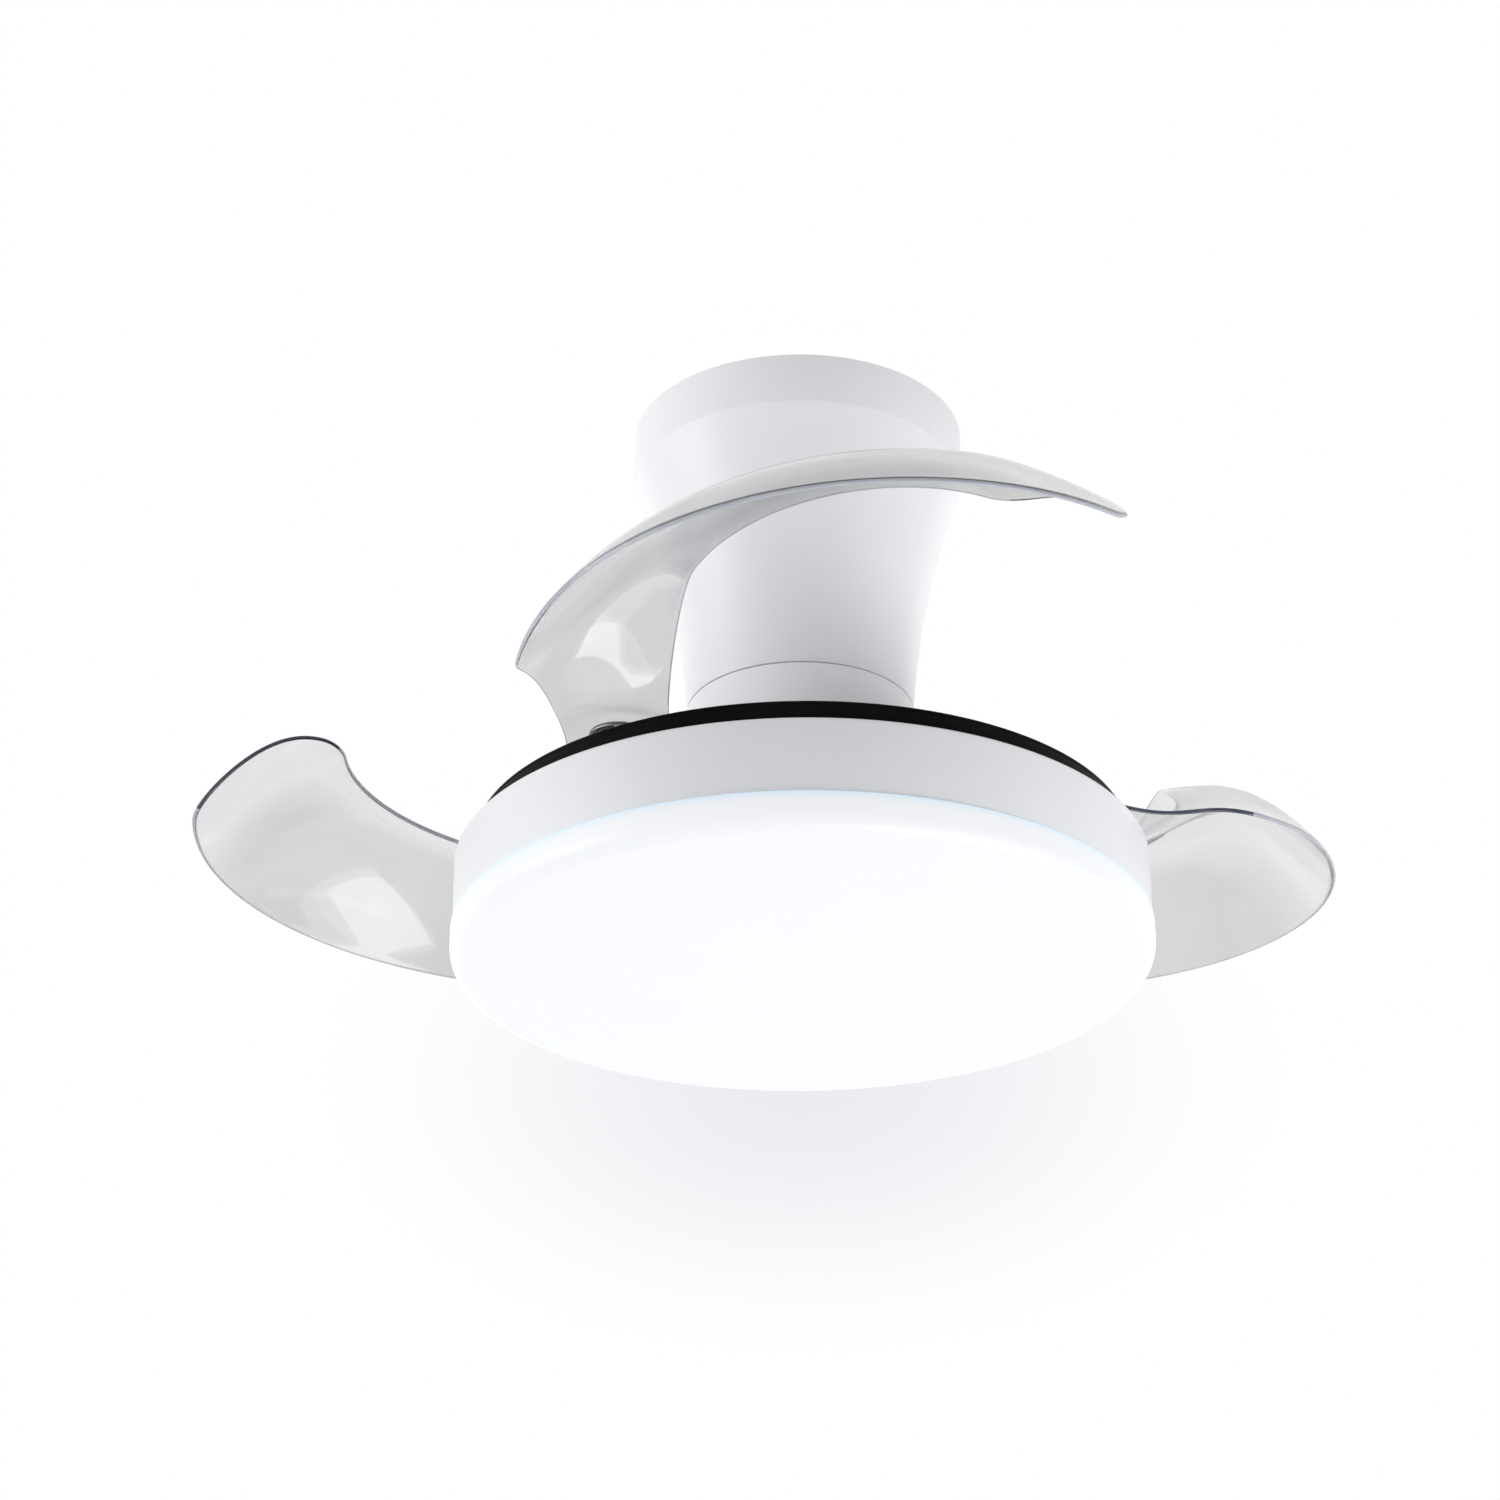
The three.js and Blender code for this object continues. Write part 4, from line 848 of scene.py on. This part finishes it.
def makeTray():
    hole, radius, circle = tray["shaftHole"], tray["radius"], tray["postCircle"]
    lidTop = tray["top"]
    lidBottom = lidTop - tray["wall"]
    outline = [(hole, lidBottom), (radius, lidBottom, 0.3), (radius, lidTop, 0.9), (hole, lidTop)]
    lid = revolve(softened(outline, 0.3), tray["steps"], "trayLid")
    through = (lidBottom - 2, lidTop + 2)
    holes = pinsRound(pivotAngles(), pivots["radius"], tray["pivotHole"], *through, 36)
    holes += pinsRound(pivotAngles(), tray["motorScrewCircle"], tray["motorScrewHole"], *through, 20)
    holes += pinsRound(pivotAngles(60.0), circle, tray["postBore"], *through, 20)
    combined(lid, holes, "DIFFERENCE")
    dress(lid, "rotor", ["trayBlack"], "tray_lid")
    top = lidBottom - tray["seam"]
    bottom = tray["bottom"]
    floor = bottom + tray["wall"]
    inner = radius - tray["wall"]
    outline = [(hole, bottom), (radius, bottom, 2.2), (radius, top, 0.3),
               (inner, top, 0.3), (inner, floor, 1.0), (hole, floor)]
    base = revolve(softened(outline, 0.3), tray["steps"], "trayBase")
    combined(base, pinsRound(pivotAngles(60.0), circle, tray["postRadius"], floor - 1, top), "UNION")
    bores = pinsRound(pivotAngles(60.0), circle, tray["postBore"], top - tray["boreDepth"], top + 2, 20)
    bores += pinsRound(pivotAngles(), pivots["radius"], tray["boltHole"], bottom - 2, floor + 2, 24)
    combined(base, bores, "DIFFERENCE")
    dress(base, "rotor", ["trayBlack"], "tray_base")


trayScrew = {
    "shank": 1.7,
    "head": 4.0,
    "headHeight": 2.4,
    "foot": -348.8,
    "seat": -337.7,
    "tipRound": 0.4,
    "crown": 1.3,
    "slotLength": 4.4,
    "slotWidth": 0.9,
    "slotDepth": 1.2,
    "steps": 36,
}


def makeTrayScrews():
    for k, angle in enumerate(pivotAngles(60.0)):
        screw = crossScrew(f"trayScrewHead{k + 1}", trayScrew)
        turnedTo(screw, angle, tray["postCircle"])
        dress(screw, "rotor", ["brightSteel"], f"tray_screw_{k + 1}")


pivotBolt = {
    "shank": 3.0,
    "head": 9.0,
    "headSide": 1.3,
    "headTop": 5.6,
    "headHeight": 3.0,
    "foot": -353.7,
    "seat": -328.2,
    "socket": 3.4,
    "socketDepth": 2.0,
    "steps": 48,
}


def makePivotBolts():
    foot, seat, shank, head = (pivotBolt[part] for part in ("foot", "seat", "shank", "head"))
    top = seat + pivotBolt["headHeight"]
    outline = [(0, foot, 0), (shank, foot, 0.5), (shank, seat, 0), (head, seat, 0.4),
               (head, seat + pivotBolt["headSide"], 0.5), (pivotBolt["headTop"], top, 0.8), (0, top, 0)]
    for k, angle in enumerate(pivotAngles()):
        bolt = revolve(softened(outline, 0.3), pivotBolt["steps"], f"pivotBoltHead{k + 1}")
        socket = pin(pivotBolt["socket"], top - pivotBolt["socketDepth"], top + 1, 6)
        combined(bolt, [socket], "DIFFERENCE")
        turnedTo(bolt, angle, pivots["radius"])
        dress(bolt, "rotor", ["boltNickel"], f"pivot_bolt_{k + 1}")


# lamp

lamp = {
    "radius": 249.0,
    "top": -356.5,
    "bottom": -410.0,
    "wall": 2.5,
    "edge": 3.0,
    "bore": 7.3,
    "steps": 220,
    "tabInner": 240.0,
    "tabTop": -402.0,
    "tabThickness": 2.0,
    "tabWidth": 12.0,
    "tabAngles": (0.0, 120.0, 240.0),
    "postCircle": 150.0,
    "postRadius": 4.5,
    "postFoot": -386.2,
    "postBore": 2.0,
    "boreDepth": 8.0,
    "postAngles": (60.0, 180.0, 300.0),
    "rooted": 1.2,  # how far tabs, posts and lugs reach into the wall they stand on
}


def makeLampPan():
    radius, bore, top, bottom = (lamp[part] for part in ("radius", "bore", "top", "bottom"))
    inner = radius - lamp["wall"]
    plate = top - lamp["wall"]
    outline = [(bore, plate, 0), (inner, plate, 1.5), (inner, bottom, 0.5), (radius, bottom, 0.9),
               (radius, top, lamp["edge"]), (bore, top, 0)]
    pan = revolve(softened(outline, 0.5, 6), lamp["steps"], "lampRing")
    tab = (lamp["tabInner"], inner + lamp["rooted"], lamp["tabTop"] - lamp["tabThickness"], lamp["tabTop"])
    parts = [ringPiece(*tab, angle, lamp["tabWidth"]) for angle in lamp["tabAngles"]]
    foot = lamp["postFoot"]
    post = (lamp["postRadius"], foot, plate + lamp["rooted"])
    drilled = (lamp["postBore"], foot - 1, foot + lamp["boreDepth"], 20)
    parts += pinsRound(lamp["postAngles"], lamp["postCircle"], *post)
    combined(pan, parts, "UNION")
    combined(pan, pinsRound(lamp["postAngles"], lamp["postCircle"], *drilled), "DIFFERENCE")
    dress(pan, "ceiling_unit", ["lampWhite"], "lamp_pan")


cover = {
    "radius": 250.5,
    "top": -410.5,
    "bottom": -436.0,
    "edge": 17.0,
    "wall": 2.5,
    "collarRadius": 238.5,
    "collarTop": -399.0,
    "lugOuter": 245.5,
    "lugThickness": 2.0,
    "steps": 220,
}


def makeDiffuser():
    radius, top, bottom, edge, wall = (cover[part] for part in ("radius", "top", "bottom", "edge", "wall"))
    neck, neckTop = cover["collarRadius"], cover["collarTop"]
    inner = neck - wall
    outline = [(0, bottom, 0), (radius, bottom, edge), (radius, top, 0.8), (neck, top, 0.4),
               (neck, neckTop, 0.5), (inner, neckTop, 0.5), (inner, top - wall, 0.4),
               (radius - wall, top - wall, 0.8), (radius - wall, bottom + wall, edge - wall),
               (0, bottom + wall, 0)]
    dish = revolve(softened(outline, 0.4, 10), cover["steps"], "diffuserDish")
    lug = (inner + lamp["rooted"], cover["lugOuter"], neckTop - cover["lugThickness"], neckTop)
    lugs = [ringPiece(*lug, angle, lamp["tabWidth"]) for angle in lamp["tabAngles"]]
    combined(dish, lugs, "UNION")
    dress(dish, "lamp_cover", ["opalDiffuser"], "diffuser")


# blades: an arched sheet between two arcs, in the pivot's own axes, x outward and y the way the fan turns

bladeShape = {
    "thickness": 3.0,
    "rimInset": 1.3,
    "rootHeight": 6.0,
    "rise": 78.0,
    "outer": {"centre": (-58.1, 165.6), "radius": 236.2, "from": -43.4, "to": 79.0,
              "low": 9.6, "high": 41.6, "bow": 4.7},
    "inner": {"centre": (-76.1, 159.0), "radius": 138.5, "from": -84.0, "to": 72.9,
              "low": 42.0, "high": 102.3, "bow": 13.6},
    "arch": 24.0,
    "archAtTip": 19.0,
    "archStart": 0.2,
    "archEaseOff": 0.8,
    "tipBulge": 21.0,
    "rootHollow": 14.0,
    "tipRound": 15.0,
    "cornerRound": 5.0,
    "leave": -70.6,
    "bossRadius": 20.0,
    "bossBottom": -337.2,
    "bossTop": -328.5,
    "bossCap": 2.5,
    "fitGap": 0.3,
    "pocketSide": 11.6,
    "bore": 3.3,
}

# points along the outline's parts, across the sheet and round the rim, and how much they crowd to the rim
bladeSteps = {"disc": 12, "root": 16, "long": 96, "tip": 14, "across": 26, "round": 8, "crowding": 0.35}


def easeIn(share):
    share = np.clip(share, 0.0, 1.0)
    return share * share * (3 - 2 * share)


def arcPoint(edge, angle):
    turn = np.radians(angle)
    return np.array(edge["centre"]) + edge["radius"] * np.array([np.cos(turn), np.sin(turn)])


def aroundEdge(edge, x, y):
    # how far a point lies from the arc's centre, and at what angle
    dx, dy = x - edge["centre"][0], y - edge["centre"][1]
    return np.hypot(dx, dy), np.degrees(np.arctan2(dy, dx))


def edgeHeight(edge, angle):
    share = (angle - edge["from"]) / (edge["to"] - edge["from"])
    return edge["low"] + (edge["high"] - edge["low"]) * share + edge["bow"] * 4 * share * (1 - share)


def rootRadius():
    # the disc round the pivot is as large as the inner arc leaves room for
    inner = bladeShape["inner"]
    return math.hypot(*inner["centre"]) - inner["radius"]


def sheetHeight(x, y):
    outer = bladeShape["outer"]
    inner = bladeShape["inner"]
    outerReach, outerAngle = aroundEdge(outer, x, y)
    innerReach, innerAngle = aroundEdge(inner, x, y)
    toOuter = np.maximum(outer["radius"] - outerReach, 0.0)
    toInner = np.maximum(innerReach - inner["radius"], 0.0)
    across = toOuter / (toOuter + toInner + 1e-9)
    along = np.clip((outerAngle - outer["from"]) / (outer["to"] - outer["from"]), 0.0, 1.0)
    easeOff = easeIn((along - bladeShape["archEaseOff"]) / (1 - bladeShape["archEaseOff"]))
    full = bladeShape["arch"] + (bladeShape["archAtTip"] - bladeShape["arch"]) * easeOff
    arch = easeIn(along / bladeShape["archStart"]) * full
    low = edgeHeight(outer, outerAngle)
    chord = low + (edgeHeight(inner, innerAngle) - low) * across
    sheet = chord + arch * 4 * across * (1 - across)
    rise = easeIn((np.hypot(x, y) - rootRadius()) / bladeShape["rise"])
    return bladeShape["rootHeight"] + (sheet - bladeShape["rootHeight"]) * rise


def bend(start, control, end, t):
    return (1 - t) ** 2 * start + 2 * t * (1 - t) * control + t ** 2 * end


def bentLine(start, end, bulge, share):
    start, end = np.array(start), np.array(end)
    along = (end - start) / np.linalg.norm(end - start)
    control = (start + end) / 2 + 2 * bulge * np.array([-along[1], along[0]])
    return bend(start, control, end, share)


def withRoundCorner(rail, corner, reach):
    # replaces the points near a corner by a smooth bend that starts and ends that far from it
    middle = int(np.argmin(np.linalg.norm(rail - corner, axis=1)))
    first = last = middle
    while np.linalg.norm(rail[first] - corner) < reach:
        first -= 1
    while last < len(rail) - 1 and np.linalg.norm(rail[last] - corner) < reach:
        last += 1
    start, end = rail[first].copy(), rail[last].copy()
    result = rail.copy()
    for i in range(first, last + 1):
        result[i] = bend(start, corner, end, (i - first) / (last - first))
    return result


def bladeRails():
    # both sides of the outline with as many points each, from the back of the pivot's disc to the tip
    outer = bladeShape["outer"]
    inner = bladeShape["inner"]
    radius = rootRadius()
    corner = arcPoint(outer, outer["from"])
    tipOuter = arcPoint(outer, outer["to"])
    tipInner = arcPoint(inner, inner["to"])
    leave = bladeShape["leave"]
    meet = math.degrees(math.atan2(inner["centre"][1], inner["centre"][0]))
    back = (leave + meet - 360) / 2

    def onDisc(angle):
        return arcPoint({"centre": (0.0, 0.0), "radius": radius}, angle)

    tangent = math.degrees(math.atan2(-inner["centre"][1], -inner["centre"][0]))
    discSteps, rootSteps, longSteps, tipSteps = (bladeSteps[part] for part in ("disc", "root", "long", "tip"))
    hollow = bladeShape["rootHollow"] / 2
    outside = [onDisc(back + (leave - back) * i / discSteps) for i in range(discSteps)]
    outside += [bentLine(onDisc(leave), corner, hollow, i / rootSteps) for i in range(rootSteps)]
    swept = outer["to"] - outer["from"]
    outside += [arcPoint(outer, outer["from"] + swept * i / longSteps) for i in range(longSteps)]
    bulge = -bladeShape["tipBulge"]
    outside += [bentLine(tipOuter, tipInner, bulge, i / tipSteps / 2) for i in range(tipSteps + 1)]
    discSide = discSteps + rootSteps - 1
    inside = [onDisc(back + (meet - 360 - back) * i / discSide) for i in range(discSide)]
    arcSteps = len(outside) - discSide - tipSteps - 1
    inside += [arcPoint(inner, tangent + (inner["to"] - tangent) * i / arcSteps) for i in range(arcSteps)]
    inside += [bentLine(tipOuter, tipInner, bulge, 1 - i / tipSteps / 2) for i in range(tipSteps + 1)]
    outside = withRoundCorner(np.array(outside), tipOuter, bladeShape["tipRound"])
    outside = withRoundCorner(outside, corner, bladeShape["cornerRound"])
    return outside, withRoundCorner(np.array(inside), tipInner, bladeShape["tipRound"])


def outwardNormals(loop):
    along = np.roll(loop, -1, axis=0) - np.roll(loop, 1, axis=0)
    along /= np.linalg.norm(along, axis=1)[:, None] + 1e-12
    normals = np.stack([along[:, 1], -along[:, 0]], axis=1)
    area = np.sum(loop[:, 0] * np.roll(loop[:, 1], -1) - np.roll(loop[:, 0], -1) * loop[:, 1])
    return normals if area > 0 else -normals


def sheetPoints(flat, offset, outward=None):
    # points on the sheet's middle moved along its normal and, at the rim, outward
    x, y = flat[:, 0], flat[:, 1]
    step = 0.4
    slopeX = (sheetHeight(x + step, y) - sheetHeight(x - step, y)) / (2 * step)
    slopeY = (sheetHeight(x, y + step) - sheetHeight(x, y - step)) / (2 * step)
    normal = np.stack([-slopeX, -slopeY, np.ones_like(x)], axis=1)
    normal /= np.linalg.norm(normal, axis=1)[:, None]
    points = np.stack([x, y, tray["top"] + sheetHeight(x, y)], axis=1) + normal * offset
    if outward is not None:
        slope = slopeX * outward[:, 0] + slopeY * outward[:, 1]
        side = np.stack([outward[:, 0], outward[:, 1], slope], axis=1)
        points = points + side
    return points


bladeLooks = ["clearBlade", "clearRim", "clearEndRim"]


def rimLooks(rows, count):
    # painted edge shade: the straight edge at the root and the round one at the tip are painted darker than
    # the two long arcs
    result = [1] * count
    for n in range(bladeSteps["disc"], bladeSteps["disc"] + bladeSteps["root"]):
        result[n] = 2
    for n in range(rows - 1 - bladeSteps["tip"], rows - 1 + bladeSteps["tip"]):
        result[n] = 2
    return result


def makeBladeMesh():
    outside, inside = bladeRails()
    rows = len(outside)
    loop = np.concatenate([outside, inside[-2:0:-1]])
    normals = outwardNormals(loop)
    inset = bladeShape["rimInset"]
    drawn = loop - normals * inset
    outerLine = drawn[:rows]
    innerLine = np.concatenate([drawn[:1], drawn[rows:][::-1], drawn[rows - 1:rows]])
    across = bladeSteps["across"]
    even = np.linspace(0, 1, across + 1)
    crowded = (1 - np.cos(np.pi * even)) / 2
    shares = crowded * bladeSteps["crowding"] + even * (1 - bladeSteps["crowding"])
    half = bladeShape["thickness"] / 2
    points = []
    for side in (half, -half):
        for i in range(rows):
            flat = outerLine[i] + (innerLine[i] - outerLine[i]) * shares[:, None]
            points += [tuple(p) for p in sheetPoints(flat, side)]
    width = across + 1
    under = rows * width
    faces = []
    looks = []
    for i in range(rows - 1):
        for j in range(across):
            a = i * width + j
            b, c, d = a + 1, a + width + 1, a + width
            faces += [(a, b, c, d), (under + a, under + d, under + c, under + b)]
            looks += [0, 0]
    # the rounded rim runs once round the outline
    ring = [i * width for i in range(rows)] + [i * width + across for i in range(rows - 2, 0, -1)]
    steps = bladeSteps["round"]
    count = len(loop)
    lookOf = rimLooks(rows, count)
    layers = [ring]
    for k in range(1, steps):
        turn = math.pi * k / steps
        first = len(points)
        outward = normals * inset * math.sin(turn)
        points += [tuple(p) for p in sheetPoints(drawn, half * math.cos(turn), outward)]
        layers.append([first + n for n in range(count)])
    layers.append([under + n for n in ring])
    for k, (upper, lower) in enumerate(zip(layers, layers[1:])):
        atEdge = 1 <= k < steps - 1  # the edge colour stops short of where the rounding meets the sheet
        for n in range(count):
            after = (n + 1) % count
            faces.append((upper[n], lower[n], lower[after], upper[after]))
            looks.append(lookOf[n] if atEdge else 0)
    thing = meshFrom("bladeSheet", points, faces, looks)
    for name in bladeLooks:
        thing.data.materials.append(look[name])
    return thing


def makeBlades():
    sheet = makeBladeMesh()
    radius, bottom, top = (bladeShape[part] for part in ("bossRadius", "bossBottom", "bossTop"))
    outline = [(0, bottom, 0), (radius, bottom, 1.0), (radius, top, 1.2), (0, top, 0)]
    boss = revolve(softened(outline, 0.5), 72, "boss")
    boss.data.materials.append(look["clearBlade"])
    combined(sheet, [boss], "UNION")
    side, pocketTop = bladeShape["pocketSide"], top - bladeShape["bossCap"] + bladeShape["fitGap"]
    cutters = [box(side, side, bottom - 2, pocketTop), pin(bladeShape["bore"], bottom - 2, top + 2, 32)]
    for cutter in cutters:
        cutter.data.materials.append(look["clearBlade"])
    combined(sheet, cutters, "DIFFERENCE")
    for k, angle in enumerate(pivotAngles()):
        blade = linked(bpy.data.objects.new(f"clearBlade{k + 1}", sheet.data.copy()))
        turnedTo(blade, angle, pivots["radius"])
        dress(blade, f"blade_arm_{k + 1}", bladeLooks, f"blade_{k + 1}", 40.0)
        blade.visible_shadow = False
    bpy.data.objects.remove(sheet)


# the pieces that stay as the frame has them

frameLooks = {
    "zincPlate": ["ceiling_bracket", "hanger_tube", "lamp_washer", "lamp_nut"],
    "brightSteel": ["motor_shaft", "hanger_set_screw"]
    + [f"{end}_{part}" for end in ("lower", "upper") for part in ("inner_race", "outer_race", "ball_cage")]
    + [f"{kind}_{k}" for kind in ("hanger_bolt", "board_screw", "motor_screw") for k in (1, 2, 3)],
    "springSteel": [f"return_spring_{k}" for k in (1, 2, 3)],
    "castAluminium": ["motor_housing_bottom", "motor_housing_top"],
    "coreSteel": ["stator_core", "magnet_ring"],
    "copperWinding": ["stator_winding"],
    "nylon": ["sync_ring", "terminal_block"] + [f"blade_gear_{k}" for k in (1, 2, 3)],
    "greyPlastic": ["receiver_case", "receiver_lid", "led_driver"],
    "lightBoard": ["led_board"],
    "receiverBoard": ["receiver_board"],
}


def dressFrame():
    for name, nodes in frameLooks.items():
        for node in nodes:
            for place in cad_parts[node].material_slots:
                place.material = look[name]


# floor and surroundings

def seenDirectly(tree):
    path = tree.nodes.new("ShaderNodeLightPath").outputs
    seen = math2(tree, "MAXIMUM", path["Is Camera Ray"], path["Is Glossy Ray"])
    return math2(tree, "MAXIMUM", seen, path["Is Transmission Ray"])


def addFloor():
    half = room["floorHalf"] / mm
    level = room["floorHeight"] / mm
    corners = [(x * half, y * half, level) for x, y in ((-1, -1), (1, -1), (1, 1), (-1, 1))]
    floor = meshFrom("studioFloor", corners, [(0, 1, 2, 3)])
    material, tree, shader = newMaterial("studioFloor", {"Roughness": 0.75})
    place = objectPlace(tree)
    shade = ramp(tree, noise(tree, place, 1.3, 4.0, 0.55), 0.3, 0.7)
    pale = room["floorColour"]
    plain = blendColour(tree, shade, pale, tuple(c * room["floorShade"] for c in pale))
    # far from the fan the floor passes into the white surroundings, so no horizon shows
    direct = seenDirectly(tree)
    far = ramp(tree, vectorNode(tree, "LENGTH", place), *room["floorFade"])
    gone = times(tree, direct, far)
    feed(tree, shader.inputs["Base Color"], blendColour(tree, gone, plain, (0.0, 0.0, 0.0)))
    feed(tree, shader.inputs["Emission Color"], blendColour(tree, far, pale, (1.0, 1.0, 1.0)))
    glow = ramp(tree, far, 0.0, 1.0, room["floorGlow"], 1.0)
    feed(tree, shader.inputs["Emission Strength"], times(tree, direct, glow))
    # from below the floor is see-through, so the lamp's underside can be looked at from any angle
    under = tree.nodes.new("ShaderNodeNewGeometry").outputs["Backfacing"]
    nothing = tree.nodes.new("ShaderNodeBsdfTransparent").outputs[0]
    surface = addNode(tree, "ShaderNodeMixShader", {0: under, 1: shader.outputs["BSDF"], 2: nothing})
    feed(tree, tree.nodes["Material Output"].inputs["Surface"], surface.outputs[0])
    floor.data.materials.append(material)


def addWorld():
    world = bpy.data.worlds.new("studioWorld")
    bpy.context.scene.world = world
    world.use_nodes = True
    tree = world.node_tree
    tree.nodes.clear()
    lit = addNode(tree, "ShaderNodeBackground", {
        "Color": room["worldColour"], "Strength": room["worldStrength"],
    }).outputs[0]
    # seen directly the surroundings are white, with a soft grey patch behind the fan
    toward = tree.nodes.new("ShaderNodeTexCoord").outputs["Generated"]
    away = vectorNode(tree, "SUBTRACT", toward, room["shadeDirection"])
    reach = vectorNode(tree, "LENGTH", vectorNode(tree, "MULTIPLY", away, room["shadeSpread"]))
    shade = addNode(tree, "ShaderNodeMapRange", {
        "Value": reach, "From Min": 1.0, "From Max": 0.0,
    }, clamp=True, interpolation_type="SMOOTHSTEP").outputs["Result"]
    plain = blendColour(tree, shade, (1.0, 1.0, 1.0), room["shadeColour"])
    white = addNode(tree, "ShaderNodeBackground", {"Color": plain, "Strength": 1.0}).outputs[0]
    mix = addNode(tree, "ShaderNodeMixShader", {0: seenDirectly(tree), 1: lit, 2: white}).outputs[0]
    addNode(tree, "ShaderNodeOutputWorld", {"Surface": mix})


addCamera()
addSoftBoxes()
addFloor()
addWorld()
print("camera, lights and room set")
makeShell()
makeCanopyScrews()
makeCollar()
makeTray()
makeTrayScrews()
makePivotBolts()
print("canopy, collar and tray made")
makeLampPan()
makeDiffuser()
print("lamp made")
makeBlades()
print("blades made")
dressFrame()

settings = bpy.context.scene.view_settings
settings.view_transform = "Standard"
